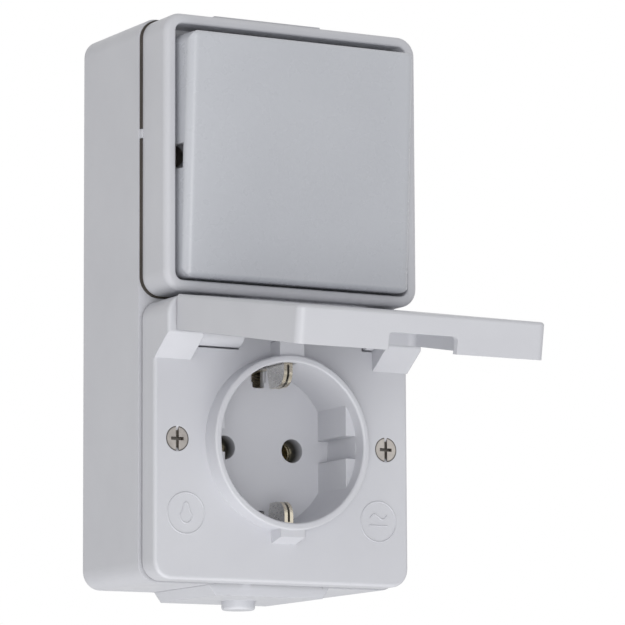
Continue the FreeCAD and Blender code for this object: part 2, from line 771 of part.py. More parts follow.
def make_rocker():
    """A glossy shell with softly rounded sides, two pivot ribs and two pegs behind it."""
    half = "(frame_width / 2 - frame_lip - rocker_gap)"
    low = "(frame_low + frame_bottom_lip + rocker_gap)"
    high = "(frame_low + frame_height - frame_bottom_lip - rocker_top_gap)"
    skin = new_body("RockerFace")
    pad(skin, "Face", "rocker_back", "rocker_face",
        lambda s: rectangle(s, "0 - " + half, half, low, high, "rocker_corner"))
    top_face = number("rocker_face")
    wide = number(half)

    def is_side(edge):
        box = edge.BoundBox
        upright = box.XLength < 0.01 and abs(abs(box.XMin) - wide) < 0.01
        return at_depth(edge, top_face) and upright

    section = new_body("RockerSection")

    def across_section(sketch):
        """The shell's section, seen from above: square at the back and round at the front."""
        x, bend = number(half), number("rocker_side_round")
        back, face = number("rocker_back"), number("rocker_face")
        points = [Vector(-x, -back, 0), Vector(x, -back, 0), Vector(x, bend - face, 0),
                  Vector(x - bend, -face, 0), Vector(bend - x, -face, 0), Vector(-x, bend - face, 0)]
        base = sketch.addGeometry(Part.LineSegment(points[0], points[1]))
        right = sketch.addGeometry(Part.LineSegment(points[1], points[2]))
        middle = Part.Circle(Vector(x - bend, bend - face, 0), Vector(0, 0, 1), bend)
        right_bend = sketch.addGeometry(Part.ArcOfCircle(middle, 4.71238898038469, 6.283185307179586))
        front = sketch.addGeometry(Part.LineSegment(points[3], points[4]))
        middle = Part.Circle(Vector(bend - x, bend - face, 0), Vector(0, 0, 1), bend)
        left_bend = sketch.addGeometry(Part.ArcOfCircle(middle, 3.141592653589793, 4.71238898038469))
        left = sketch.addGeometry(Part.LineSegment(points[5], points[0]))
        joins = [("Coincident", base, 2, right, 1), ("Tangent", right, 2, right_bend, 2),
                 ("Tangent", right_bend, 1, front, 1), ("Tangent", front, 2, left_bend, 2),
                 ("Tangent", left_bend, 1, left, 1), ("Coincident", left, 2, base, 1)]
        for kind, first, first_end, second, second_end in joins:
            sketch.addConstraint(Sketcher.Constraint(kind, first, first_end, second, second_end))
        for kind, edge in (("Horizontal", base), ("Vertical", right), ("Horizontal", front),
                           ("Vertical", left)):
            sketch.addConstraint(Sketcher.Constraint(kind, edge))
        sketch.addConstraint(Sketcher.Constraint("Equal", right_bend, left_bend))
        index = sketch.addConstraint(Sketcher.Constraint("Radius", right_bend, bend))
        bind(sketch, "Constraints[%d]" % index, "rocker_side_round")
        limits = [("DistanceY", base, "0 - rocker_back"), ("DistanceX", right, half),
                  ("DistanceY", front, "0 - rocker_face"), ("DistanceX", left, "0 - " + half)]
        for kind, edge, text in limits:
            index = sketch.addConstraint(Sketcher.Constraint(kind, -1, 1, edge, 1, number(text)))
            bind(sketch, "Constraints[%d]" % index, text)

    pad(section, "Section", low, high, across_section, LEVEL)

    def is_end(edge):
        box = edge.BoundBox
        return at_depth(edge, top_face) and box.ZLength < 0.01

    round_edges(section, "EndRound", "rocker_end_round", is_end)
    outside = doc.addObject("Part::Common", "RockerOutside")
    outside.Base = skin
    outside.Tool = section
    room = new_body("RockerRoom")
    inset = "rocker_skin"
    pad(room, "Room", "rocker_back - 1", "rocker_face - rocker_skin",
        lambda s: rectangle(s, "%s - %s" % (inset, half), "%s - %s" % (half, inset),
                            "%s + %s" % (low, inset), "%s - %s" % (high, inset), "rocker_corner - 1"))
    hollow = cut("RockerShell", outside, [room])
    notch_low = "(%s - notch_drop - notch_height / 2)" % SWITCH_Z
    notch = block("RockerNotch", "0 - %s - 1" % half, "notch_width - %s" % half, "rocker_back - 1",
                  "rocker_face - notch_bridge", notch_low, notch_low + " + notch_height")
    notched = cut("RockerNotched", hollow, [notch])
    extras = []
    for side, sign in (("Right", ""), ("Left", "0 - ")):
        ends = sorted((sign + "rocker_rib_inner", sign + "rocker_rib_outer"), key=number)
        extras.append(block("Rocker%sRib" % side, ends[0], ends[1], "rocker_axis_depth - 1.5",
                            "rocker_face - rocker_skin / 2", SWITCH_Z + " - rocker_rib_half",
                            SWITCH_Z + " + rocker_rib_half"))
        ends = sorted((sign + "(rocker_rib_inner + 0.5)", sign + "rocker_pin_end"), key=number)
        extras.append(axle("Rocker%sPin" % side, ends[0], ends[1], "rocker_axis_depth", SWITCH_Z,
                           "rocker_pin_radius"))
    for name, sign in (("Upper", "+"), ("Lower", "-")):
        extras.append(rod("Rocker%sPeg" % name, "0", "%s %s rocker_peg_out" % (SWITCH_Z, sign),
                          "rocker_peg_back", "rocker_face - rocker_skin / 2", "rocker_peg_radius"))
    rocker = fused("rocker", [notched] + extras)
    rocker.Placement = rocker_turn()
    return rocker


def make_membrane():
    """A rubber sheet under the frame's floor, with a dome under each of the rocker's pegs."""
    body = new_body("rocker_membrane")
    front = "(frame_floor_back - 0.02)"
    pad(body, "Sheet", front + " - membrane_thick", front, lambda s: rectangle(
        s, "0 - membrane_half", "membrane_half", SWITCH_Z + " - membrane_half",
        SWITCH_Z + " + membrane_half", "2.5"))

    def domes(sketch):
        for sign in ("+", "-"):
            circle(sketch, "0", "%s %s rocker_peg_out" % (SWITCH_Z, sign), "membrane_dome_radius")

    pad(body, "Domes", front + " - 0.3", front + " + membrane_dome", domes)
    return body


def make_switch_base():
    """The insert's moulded base: an open room for the contacts, cheeks for the toggle, two ears."""
    body = new_body("switch_base")
    pad(body, "Block", "switch_base_back", "switch_base_front", lambda s: rectangle(
        s, "0 - switch_base_half", "switch_base_half", SWITCH_Z + " - switch_base_half",
        SWITCH_Z + " + switch_base_half", "switch_base_corner"))

    def ears(sketch):
        rectangle(sketch, "0 - switch_ear_half", "switch_ear_half",
                  SWITCH_Z + " - switch_ear_out - switch_ear_half",
                  SWITCH_Z + " + switch_ear_out + switch_ear_half", "2")

    pad(body, "Ears", "switch_ear_back", "switch_ear_back + switch_ear_thick", ears)
    pad(body, "Cheeks", "switch_base_front - 1", "cheek_front", lambda s: [
        rectangle(s, "switch_room_half_x", "switch_room_half_x + cheek_thick",
                  SWITCH_Z + " - cheek_half", SWITCH_Z + " + cheek_half"),
        rectangle(s, "0 - switch_room_half_x - cheek_thick", "0 - switch_room_half_x",
                  SWITCH_Z + " - cheek_half", SWITCH_Z + " + cheek_half")])
    pocket(body, "Room", "switch_room_floor", "switch_base_front + 8", lambda s: rectangle(
        s, "0 - switch_room_half_x", "switch_room_half_x", SWITCH_Z + " - switch_room_half_z",
        SWITCH_Z + " + switch_room_half_z"))
    pocket(body, "ToggleBores", "0 - switch_room_half_x - cheek_thick - 1",
           "switch_room_half_x + cheek_thick + 1",
           lambda s: circle(s, "0 - toggle_axis_depth", SWITCH_Z, "toggle_pin_radius + toggle_pin_slack"),
           SIDE)

    def ear_holes(sketch):
        circle(sketch, "0", SWITCH_Z + " + switch_ear_out", "small_screw_radius + 0.15")
        circle(sketch, "0", SWITCH_Z + " - switch_ear_out", "small_screw_radius + 0.15")

    pocket(body, "EarHoles", "switch_ear_back - 1", "switch_ear_back + switch_ear_thick + 1", ear_holes)

    def clamp_rooms(sketch):
        for side in ("", "0 - "):
            for end in ("+", "-"):
                middle = side + "switch_clamp_across"
                height = "%s %s switch_clamp_up" % (SWITCH_Z, end)
                rectangle(sketch, middle + " - switch_clamp_half - 0.1", middle + " + switch_clamp_half + 0.1",
                          height + " - switch_clamp_half - 0.1", height + " + switch_clamp_half + 0.1")

    pocket(body, "ClampRooms", "switch_clamp_back", "switch_base_front + 1", clamp_rooms)
    return body


def make_toggle():
    """The inner see-saw on its cross pin, with a hollow stem for the plunger and spring."""
    plate = block("TogglePlate", "0 - toggle_half_x", "toggle_half_x", "toggle_plate_back",
                  "toggle_plate_back + toggle_plate_thick", SWITCH_Z + " - toggle_half_z",
                  SWITCH_Z + " + toggle_half_z")
    hub = axle("ToggleHub", "0 - toggle_half_x", "toggle_half_x", "toggle_axis_depth", SWITCH_Z,
               "toggle_hub_radius")
    reach = "(switch_room_half_x + cheek_thick)"
    pin = axle("TogglePin", "0 - " + reach, reach, "toggle_axis_depth", SWITCH_Z, "toggle_pin_radius")
    stem = rod("ToggleStem", "0", SWITCH_Z, "toggle_stem_end", "toggle_axis_depth", "toggle_stem_radius")
    body = fused("ToggleBody", [plate, hub, pin, stem])
    hollow = rod("ToggleHollow", "0", SWITCH_Z, "toggle_stem_end - 1", "spring_front + spring_wire + 0.1",
                 "plunger_radius + plunger_slack")
    toggle = cut("toggle", body, [hollow])
    return toggle


def make_plunger():
    """A round-nosed pin that slides in the toggle's stem and presses on the contact lever."""
    shank = rod("PlungerShank", "0", SWITCH_Z, "plunger_shoulder - 0.5", "plunger_inside", "plunger_radius")
    head = rod("PlungerHead", "0", SWITCH_Z, "plunger_tip + 1", "plunger_shoulder", "plunger_head")
    nose = cone("PlungerNose", "0", SWITCH_Z, "plunger_tip", "plunger_tip + 1", "0.6", "plunger_head")
    return fused("plunger", [shank, head, nose])


def make_toggle_spring():
    """A small coil spring between the plunger and the end of the toggle's hollow."""
    body = new_body("toggle_spring")
    sketch = sketch_at(body, "Wire", UPRIGHT, "0",
                       lambda s: circle(s, "spring_radius", "0", "spring_wire"))
    coil = body.newObject("PartDesign::AdditiveHelix", "Coil")
    coil.Profile = sketch
    coil.ReferenceAxis = (sketch, ["V_Axis"])
    coil.Mode = 0
    bind(coil, "Pitch", "spring_pitch")
    bind(coil, "Height", "spring_front - plunger_inside - 2 * spring_wire - 0.2")
    coil.LeftHanded = False
    body.Tip = coil
    body.Placement = Placement(
        Vector(0, -number("plunger_inside + spring_wire + 0.1"), number(SWITCH_Z)),
        Rotation(Vector(1, 0, 0), 90))
    return body


def turned(thing, axis_depth, height, angle):
    """Turn a finished piece about a cross axis, from its drawn place to its place at rest."""
    middle = Vector(0, -number(axis_depth), number(height))
    thing.Placement = Placement(Vector(), Rotation(Vector(1, 0, 0), angle), middle).multiply(thing.Placement)


def make_contact_lever():
    """The moving contact: a brass strip with a silver button at each end, on a cross pin."""
    strip = block("LeverStrip", "0 - lever_half_x", "lever_half_x", "lever_axis_depth",
                  "lever_axis_depth + lever_thick", SWITCH_Z + " - lever_half_z",
                  SWITCH_Z + " + lever_half_z")
    pin = axle("LeverPin", "0 - lever_half_x - cradle_gap - cradle_ear",
               "lever_half_x + cradle_gap + cradle_ear", "lever_axis_depth", SWITCH_Z, "lever_pin_radius")
    buttons = [rod("LeverButton" + name, "0", "%s %s lever_button_out" % (SWITCH_Z, sign),
                   "lever_axis_depth - lever_button", "lever_axis_depth + 0.2", "lever_button_radius")
               for name, sign in (("Upper", "+"), ("Lower", "-"))]
    return fused("contact_lever", [strip, pin] + buttons)


def make_lever_cradle():
    """The common contact: a brass fork that carries the lever, with a tail to its terminal."""
    inner = "(lever_half_x + cradle_gap)"
    outer = "(lever_half_x + cradle_gap + cradle_ear)"
    top = "(lever_axis_depth + lever_pin_radius + 0.8)"
    pieces = [block("CradleBase", "0 - " + outer, outer, "switch_room_floor",
                    "switch_room_floor + anvil_strip", SWITCH_Z + " - 2.4", SWITCH_Z + " + 2.4")]
    for name, sign in (("Right", ""), ("Left", "0 - ")):
        ends = sorted((sign + inner, sign + outer), key=number)
        pieces.append(block("CradleEar" + name, ends[0], ends[1], "switch_room_floor", top,
                            SWITCH_Z + " - 2", SWITCH_Z + " + 2"))
    body = fused("CradleBody", pieces)
    bore = axle("CradleBore", "0 - lever_half_x - 5", "lever_half_x + 5", "lever_axis_depth", SWITCH_Z,
                "lever_pin_radius + lever_pin_slack")
    return cut("lever_cradle", body, [bore])


def make_anvil(label, sign):
    """A fixed contact: a brass strip on the room's floor with a raised silver button."""
    height = "(%s %s lever_button_out)" % (SWITCH_Z, sign)
    strip = block(label + "Strip", "0 - anvil_half", "anvil_half", "switch_room_floor",
                  "switch_room_floor + anvil_strip", height + " - anvil_half", height + " + anvil_half")
    button = rod(label + "Button", "0", height, "switch_room_floor + anvil_strip / 2", "anvil_front",
                 "lever_button_radius")
    return fused(label, [strip, button])


def clamp_places():
    """The four clamps of the switch: right and left of its room, above and below the middle."""
    for side_name, side in (("Right", ""), ("Left", "0 - ")):
        for end_name, end in (("Upper", "+"), ("Lower", "-")):
            yield side_name + end_name, side + "switch_clamp_across", "(%s %s switch_clamp_up)" % (SWITCH_Z, end)


def make_switch_clamps():
    """Brass terminal cages with a hole for the wire from the side and a screw from the front."""
    cages = []
    for name, across, height in clamp_places():
        cage = block("SwitchCage" + name, across + " - switch_clamp_half", across + " + switch_clamp_half",
                     "switch_clamp_back", "switch_clamp_front", height + " - switch_clamp_half",
                     height + " + switch_clamp_half")
        depth = "(switch_clamp_back + 3)"
        wire = axle("SwitchWire" + name, across + " - 8", across + " + 8", depth, height, "1.6")
        thread = rod("SwitchThread" + name, across, height, depth, "switch_clamp_front + 1",
                     "clamp_screw_radius + 0.02")
        cages.append(cut("SwitchClamp" + name, cage, [wire, thread]))
    return group("switch_terminals", cages)


def plain_screw(name, across, height, under_head, length, radius, head_radius, head_height):
    """A pan-headed screw along the depth with one slot across its head."""
    shank = rod(name + "Shank", across, height, "%s - (%s)" % (under_head, length), under_head, radius)
    head = rod(name + "Head", across, height, under_head, "%s + %s" % (under_head, head_height), head_radius)
    body = fused(name + "Body", [shank, head])
    slot = block(name + "Slot", "%s - screw_slot / 2" % across, "%s + screw_slot / 2" % across,
                 "%s + %s - screw_slot_depth" % (under_head, head_height),
                 "%s + %s + 1" % (under_head, head_height), "%s - 5" % height, "%s + 5" % height)
    return cut(name, body, [slot])


def make_switch_screws():
    screws = [plain_screw("SwitchScrew" + name, "0", "(%s %s switch_ear_out)" % (SWITCH_Z, sign),
                          "(switch_ear_back + switch_ear_thick)", "small_screw_length", "pilot_radius - 0.02",
                          "small_head_radius", "small_head_height")
              for name, sign in (("Upper", "+"), ("Lower", "-"))]
    return group("switch_screws", screws)


def make_switch_terminal_screws():
    screws = [plain_screw("SwitchClampScrew" + name, across, height, "(switch_clamp_front + 0.8)", "4.5",
                          "clamp_screw_radius", "clamp_screw_head", "small_head_height")
              for name, across, height in clamp_places()]
    return group("switch_terminal_screws", screws)


def make_frame_screws():
    screws = []
    for name, side in (("Right", ""), ("Left", "0 - ")):
        screws.append(plain_screw("FrameScrew" + name, side + "frame_screw_place", SWITCH_Z,
                                  "(frame_floor_front - 1)", "screw_length", "pilot_radius - 0.02",
                                  "small_head_radius", "small_head_height"))
    return group("frame_screws", screws)


# Socket cover

def round_with_flats(sketch):
    """The recess's section: a circle with a flat on the right and on the left."""
    radius, flat, drop = number("recess_radius"), number("guide_half"), number(SOCKET_Z)
    rise = (radius * radius - flat * flat) ** 0.5
    middle = Part.Circle(Vector(0, drop, 0), Vector(0, 0, 1), radius)
    turn = middle.parameter(Vector(flat, drop + rise, 0))
    straight = 3.141592653589793
    upper = sketch.addGeometry(Part.ArcOfCircle(middle, turn, straight - turn))
    left = sketch.addGeometry(Part.LineSegment(Vector(-flat, drop + rise, 0), Vector(-flat, drop - rise, 0)))
    lower = sketch.addGeometry(Part.ArcOfCircle(middle, straight + turn, 2 * straight - turn))
    right = sketch.addGeometry(Part.LineSegment(Vector(flat, drop - rise, 0), Vector(flat, drop + rise, 0)))
    chain = [upper, left, lower, right]
    for edge, following in zip(chain, chain[1:] + chain[:1]):
        sketch.addConstraint(Sketcher.Constraint("Coincident", edge, 2, following, 1))
    sketch.addConstraint(Sketcher.Constraint("Vertical", left))
    sketch.addConstraint(Sketcher.Constraint("Vertical", right))
    sketch.addConstraint(Sketcher.Constraint("Coincident", upper, 3, lower, 3))
    sketch.addConstraint(Sketcher.Constraint("Equal", upper, lower))
    hold_point(sketch, upper, 3, "0", SOCKET_Z)
    index = sketch.addConstraint(Sketcher.Constraint("Radius", upper, radius))
    bind(sketch, "Constraints[%d]" % index, "recess_radius")
    for edge, text in ((left, "0 - guide_half"), (right, "guide_half")):
        index = sketch.addConstraint(Sketcher.Constraint("DistanceX", -1, 1, edge, 1, number(text)))
        bind(sketch, "Constraints[%d]" % index, text)


def pole(name, across, depth, low, high, radius):
    """A round bar along the height."""
    bar = doc.addObject("Part::Cylinder", name)
    bind(bar, "Placement.Base.x", across)
    bind(bar, "Placement.Base.y", "0 - (%s)" % depth)
    bind(bar, "Placement.Base.z", low)
    bind(bar, "Radius", radius)
    bind(bar, "Height", "(%s) - (%s)" % (high, low))
    return bar


def make_cover_plate():
    """The cover's plate with its hollow back, the collar and the deep recess with its floor."""
    body = new_body("CoverPlate")
    half = "plate_width / 2"
    low = PLATE_LOW
    skin_back = "(%s - plate_skin)" % PLATE_FRONT
    pad(body, "Plate", COVER_BACK, PLATE_FRONT,
        lambda s: rectangle(s, "0 - " + half, half, low, PLATE_TOP, "box_corner"))
    front = number(PLATE_FRONT)
    round_edges(body, "PlateRound", "plate_round", lambda edge: at_depth(edge, front))
    pocket(body, "PlateRoom", COVER_BACK + " - 1", skin_back, lambda s: rectangle(
        s, "plate_wall - " + half, half + " - plate_wall", low + " + plate_wall",
        PLATE_TOP + " - plate_wall", "room_corner"))
    pad(body, "Collar", POT_BACK, "collar_front", lambda s: circle(s, "0", SOCKET_Z, "collar_radius"))
    pocket(body, "RecessMouth", "guide_front", "collar_front + 1",
           lambda s: circle(s, "0", SOCKET_Z, "recess_radius"))
    pocket(body, "Recess", "recess_floor", "guide_front + 0.5", round_with_flats)
    rim = number("collar_front")
    round_edges(body, "CollarRound", "collar_round", lambda edge: at_depth(edge, rim))
    groove = "(guide_half + guide_groove_depth)"
    pocket(body, "GuideGroove", "recess_floor", "guide_front + 0.5", lambda s: rectangle(
        s, "0 - " + groove, groove, SOCKET_Z + " - guide_groove / 2", SOCKET_Z + " + guide_groove / 2"))
    # Channels in the wall and slots in the floor let the earth clips rise beside the pins
    reach = "(recess_radius + clip_notch)"

    def clip_ways(sketch, inner, half_width, corner=None):
        for sign in ("+", "-"):
            ends = sorted(("%s %s %s" % (SOCKET_Z, sign, inner), "%s %s %s" % (SOCKET_Z, sign, reach)),
                          key=number)
            rectangle(sketch, "0 - " + half_width, half_width, ends[0], ends[1], corner)

    pocket(body, "ClipChannels", "recess_floor - 0.5", "clip_front + 0.8",
           lambda s: clip_ways(s, "(recess_radius - 3)", "clip_channel_half"))
    pocket(body, "ClipSlots", POT_BACK + " - 1", "recess_floor + 0.5",
           lambda s: clip_ways(s, "(recess_radius - clip_slot_reach)", "clip_slot_half",
                               "clip_slot_corner"))

    def two_on_row(sketch, across, radius):
        circle(sketch, "0 - " + across, SOCKET_Z, radius)
        circle(sketch, across, SOCKET_Z, radius)

    # Short tubes behind the floor lead the pins into their sleeves
    pad(body, "PinTunnels", "tunnel_back", "recess_floor - 0.5",
        lambda s: two_on_row(s, "pin_spacing / 2", "tunnel_radius"))
    pocket(body, "PinHoles", "tunnel_back - 1", "recess_floor + 1",
           lambda s: two_on_row(s, "pin_spacing / 2", "pin_hole_radius"))
    pad(body, "ScrewBosses", COVER_BACK, skin_back + " + 0.2",
        lambda s: two_on_row(s, "cover_screw_place", "boss_radius + 0.3"))
    pocket(body, "ScrewHoles", COVER_BACK + " - 1", PLATE_FRONT + " + 1",
           lambda s: two_on_row(s, "cover_screw_place", "screw_radius + 0.15"))
    # The upper tab and the lower latch stand out from the collar
    collar_top = "(%s + collar_radius)" % SOCKET_Z
    collar_bottom = "(%s - collar_radius)" % SOCKET_Z
    pad(body, "TopTab", PLATE_FRONT + " - 0.5", "collar_front - collar_round", lambda s: rectangle(
        s, "0 - tab_half", "tab_half", collar_top + " - 1", collar_top + " + top_tab_reach"))
    pad(body, "Latch", "0 - tab_half", "tab_half", lambda s: outline(s, [
        ("0.5 - " + PLATE_FRONT, collar_bottom + " + 1"),
        ("collar_round - collar_front", collar_bottom + " + 1"),
        ("collar_round - collar_front", collar_bottom + " - latch_reach_front"),
        ("0.5 - " + PLATE_FRONT, collar_bottom + " - latch_reach_back")]), SIDE)
    pad(body, "TroughBacking", skin_back + " - trough_backing", skin_back + " + 0.2",
        lambda s: rectangle(s, "block_width - %s - 0.6" % half, "1.2 - hinge_barrel_end",
                            "0 - hinge_drop - trough_half", "trough_half - hinge_drop"))
    pad(body, "Nib", "box_depth", COVER_BACK + " + 0.2", lambda s: rectangle(
        s, "nib_side - nib_width / 2", "nib_side + nib_width / 2", low, low + " + nib_thick"))
    return body


def make_hinge_blocks():
    """Two blocks flush with the plate's upper corners, each with a sloping lower face."""
    body = new_body("HingeBlocks")
    half = "plate_width / 2"
    back = "(%s - 1)" % PLATE_FRONT
    inner = "(plate_width / 2 - block_width)"
    pad(body, "Slab", back, "block_front",
        lambda s: rectangle(s, "0 - " + half, half, PLATE_LOW, PLATE_TOP, "box_corner"))
    pocket(body, "BelowBlocks", back + " - 1", "block_front + 1", lambda s: rectangle(
        s, "0 - plate_width", "plate_width", PLATE_LOW + " - 1", "0 - block_height"))
    pocket(body, "BetweenBlocks", back + " - 1", "block_front + 1", lambda s: rectangle(
        s, "0 - " + inner, inner, PLATE_LOW, PLATE_TOP + " + 1"))
    slope = "((block_height - block_front_height) / (block_front - %s))" % PLATE_FRONT
    pocket(body, "Slopes", "0 - plate_width", "plate_width", lambda s: outline(s, [
        ("0 - " + PLATE_FRONT, "0 - block_height"), ("0 - " + PLATE_FRONT, "0 - block_height - 1"),
        ("0 - block_front - 1", "0 - block_height - 1"),
        ("0 - block_front - 1", "0 - block_front_height + " + slope)]), SIDE)
    face = number("block_front")
    round_edges(body, "BlockRound", "block_round", lambda edge: at_depth(edge, face))
    return body


def make_socket_cover():
    """One moulding: plate, raised collar, deep recess with its floor, and two hinge blocks."""
    whole = fused("CoverWhole", [make_cover_plate(), make_hinge_blocks()])
    inner = "(plate_width / 2 - block_width)"
    height = "(0 - hinge_drop)"
    tools = [
        axle("LeftTrough", "0 - " + inner, "0.4 - hinge_barrel_end", "hinge_depth", height,
             "hinge_barrel_radius + hinge_trough"),
        axle("RightTrough", inner + " - lid_arm - 1.2", inner, "hinge_depth", height,
             "hinge_small_radius + hinge_trough"),
        axle("LeftPinHole", "0 - hinge_pin_end - 0.1", "0.5 - " + inner, "hinge_depth", height,
             "hinge_pin_radius + hinge_pin_fit"),
        axle("RightPinHole", inner + " - 0.5", "hinge_pin_end + 0.1", "hinge_depth", height,
             "hinge_pin_radius + hinge_pin_fit"),
    ]
    # Countersinks for the two screws run on a little past the face
    sink = "(screw_head_radius - screw_radius - 0.1)"
    for name, side in (("Right", ""), ("Left", "0 - ")):
        tools.append(cone("Countersink" + name, side + "cover_screw_place", SOCKET_Z,
                          "%s - %s" % (PLATE_FRONT, sink), PLATE_FRONT + " + 0.2",
                          "screw_radius + 0.15", "screw_radius + 0.35 + " + sink))
    return cut("socket_cover", whole, tools)


def make_cover_screws():
    """Two countersunk nickelled screws with a slot and a cross in the head."""
    screws = []
    for name, side in (("Right", ""), ("Left", "0 - ")):
        across = side + "cover_screw_place"
        top = "(%s - 0.05)" % PLATE_FRONT
        under = "(%s - 0.05 - (screw_head_radius - pilot_radius + 0.02))" % PLATE_FRONT
        shank = rod("CoverShank" + name, across, SOCKET_Z, top + " - screw_length", top + " - 0.5",
                    "pilot_radius - 0.02")
        head = cone("CoverHead" + name, across, SOCKET_Z, under, top, "pilot_radius - 0.02",
                    "screw_head_radius")
        body = fused("CoverScrewBody" + name, [shank, head])
        slot = block("CoverSlot" + name, across + " - screw_slot / 2", across + " + screw_slot / 2",
                     top + " - screw_slot_depth", top + " + 1", SOCKET_Z + " - 4", SOCKET_Z + " + 4")
        cross = block("CoverCross" + name, across + " - screw_cross", across + " + screw_cross",
                      top + " - screw_slot_depth - 0.3", top + " + 1", SOCKET_Z + " - screw_slot / 2",
                      SOCKET_Z + " + screw_slot / 2")
        screws.append(cut("CoverScrew" + name, body, [slot, cross]))
    return group("cover_screws", screws)


# Lid, drawn closed and then turned up to its place at rest

LID_FREE = "(0 - hinge_drop - lid_reach)"
LID_INSIDE = "(hinge_depth + lid_depth_hinge - lid_skin)"


def make_lid():
    """A shallow tray with a notched free end, a neck between the hinge blocks and two barrels."""
    tray = new_body("LidTray")
    half = "lid_width / 2"
    pad(tray, "Shell", "0 - " + half, half, lambda s: outline(s, [
        ("0 - hinge_depth", "0 - hinge_drop - lid_rim_start"),
        ("0 - hinge_depth", LID_FREE),
        ("0 - hinge_depth - lid_depth_free", LID_FREE),
        ("0 - hinge_depth - lid_depth_hinge", "0 - hinge_drop - lid_face_start")]), SIDE)
    free, wide = number(LID_FREE), number(half)

    def is_free_corner(edge):
        box = edge.BoundBox
        return (abs(box.ZMin - free) < 0.01 and box.ZLength < 0.01 and box.XLength < 0.01
                and abs(abs(box.XMin) - wide) < 0.01)

    round_edges(tray, "FreeCorners", "lid_corner", is_free_corner)
    shallow = -number("hinge_depth + lid_depth_hinge - 0.1")

    def is_face_edge(edge):
        box = edge.BoundBox
        along_hinge = box.ZMin > number("0 - hinge_drop - lid_face_start - 1")
        return box.YMax < shallow and not along_hinge

    round_edges(tray, "FaceRound", "lid_edge_round", is_face_edge)
    end_inside = "(0 - hinge_drop - lid_rim_start - lid_wall)"
    pocket(tray, "Hollow", "hinge_depth - 1", LID_INSIDE, lambda s: rectangle(
        s, "lid_wall - " + half, half + " - lid_wall", LID_FREE + " + lid_wall", end_inside, "lid_wall"))
    pocket(tray, "EndGap", "hinge_depth - 1", LID_INSIDE, lambda s: rectangle(
        s, "0 - lid_end_gap_half", "lid_end_gap_half", end_inside + " - 3", "0 - hinge_drop"))
    pocket(tray, "Notch", LID_FREE + " - 1", LID_FREE + " + lid_wall + 1", lambda s: rectangle(
        s, "0 - lid_notch_half", "lid_notch_half", "0 - hinge_depth - lid_notch_depth",
        "2 - hinge_depth", "lid_notch_corner"), LEVEL)
    neck = new_body("LidNeck")
    low = "(0 - hinge_drop - lid_face_start - 2)"
    outer = "(0 - hinge_depth - lid_depth_hinge)"
    pad(neck, "Skin", "0 - lid_neck_half", "lid_neck_half", lambda s: outline(s, [
        ("0 - " + LID_INSIDE, low), (outer, low), (outer, "0 - hinge_drop - lid_neck_reach - 0.6"),
        (outer + " + 0.6", "0 - hinge_drop - lid_neck_reach"),
        ("0 - " + LID_INSIDE, "0 - hinge_drop - lid_neck_reach")]), SIDE)
    arms = []
    for name, left, right in (("Left", "0 - lid_neck_half", "lid_arm - lid_neck_half"),
                              ("Inner", "0 - hinge_barrel_end - lid_arm", "0 - hinge_barrel_end"),
                              ("Right", "lid_neck_half - lid_arm", "lid_neck_half")):
        arm = new_body("Lid%sArm" % name)
        # The inner arm stops short of the rubber ring
        end = "(0 - hinge_drop - lid_inner_arm_reach)" if name == "Inner" else end_inside + " + 0.1"
        pad(arm, "Web", left, right, lambda s: outline(s, [
            ("0 - hinge_depth", "0 - hinge_drop"),
            ("0 - hinge_depth", end),
            ("0 - %s - 0.3" % LID_INSIDE, end),
            ("0 - %s - 0.3" % LID_INSIDE, "0 - hinge_drop - lid_neck_reach - 0.2"),
            ("0 - hinge_depth - 4", "0 - hinge_drop")]), SIDE)
        arms.append(arm)
    height = "(0 - hinge_drop)"
    barrels = [
        axle("LeftBarrel", "0 - lid_neck_half - 0.2", "0 - hinge_barrel_end", "hinge_depth", height,
             "hinge_barrel_radius"),
        axle("RightBarrel", "lid_neck_half - lid_arm - 0.2", "lid_neck_half + 0.2", "hinge_depth", height,
             "hinge_small_radius"),
    ]
    whole = fused("LidWhole", [tray, neck] + arms + barrels)
    bore = axle("LidBore", "0 - lid_neck_half - 1", "lid_neck_half + 1", "hinge_depth", height,
                "hinge_pin_radius + hinge_pin_slack")
    lid = cut("lid", whole, [bore])
    turned(lid, "hinge_depth", "0 - hinge_drop", -number("lid_open_angle"))
    return lid


def make_lid_seal():
    """A flat rubber ring inside the lid that meets the collar's rim when the lid is shut."""
    body = new_body("lid_seal")

    def ring(sketch):
        circle(sketch, "0", SOCKET_Z, "ring_outer")
        circle(sketch, "0", SOCKET_Z, "ring_inner")

    pad(body, "Ring", LID_INSIDE + " - ring_thick", LID_INSIDE + " - 0.02", ring)
    turned(body, "hinge_depth", "0 - hinge_drop", -number("lid_open_angle"))
    return body


def make_hinge_pin(label, left, right):
    pin = axle(label, left, right, "hinge_depth", "(0 - hinge_drop)", "hinge_pin_radius")
    pin.Label = label
    return pin


# Socket insert

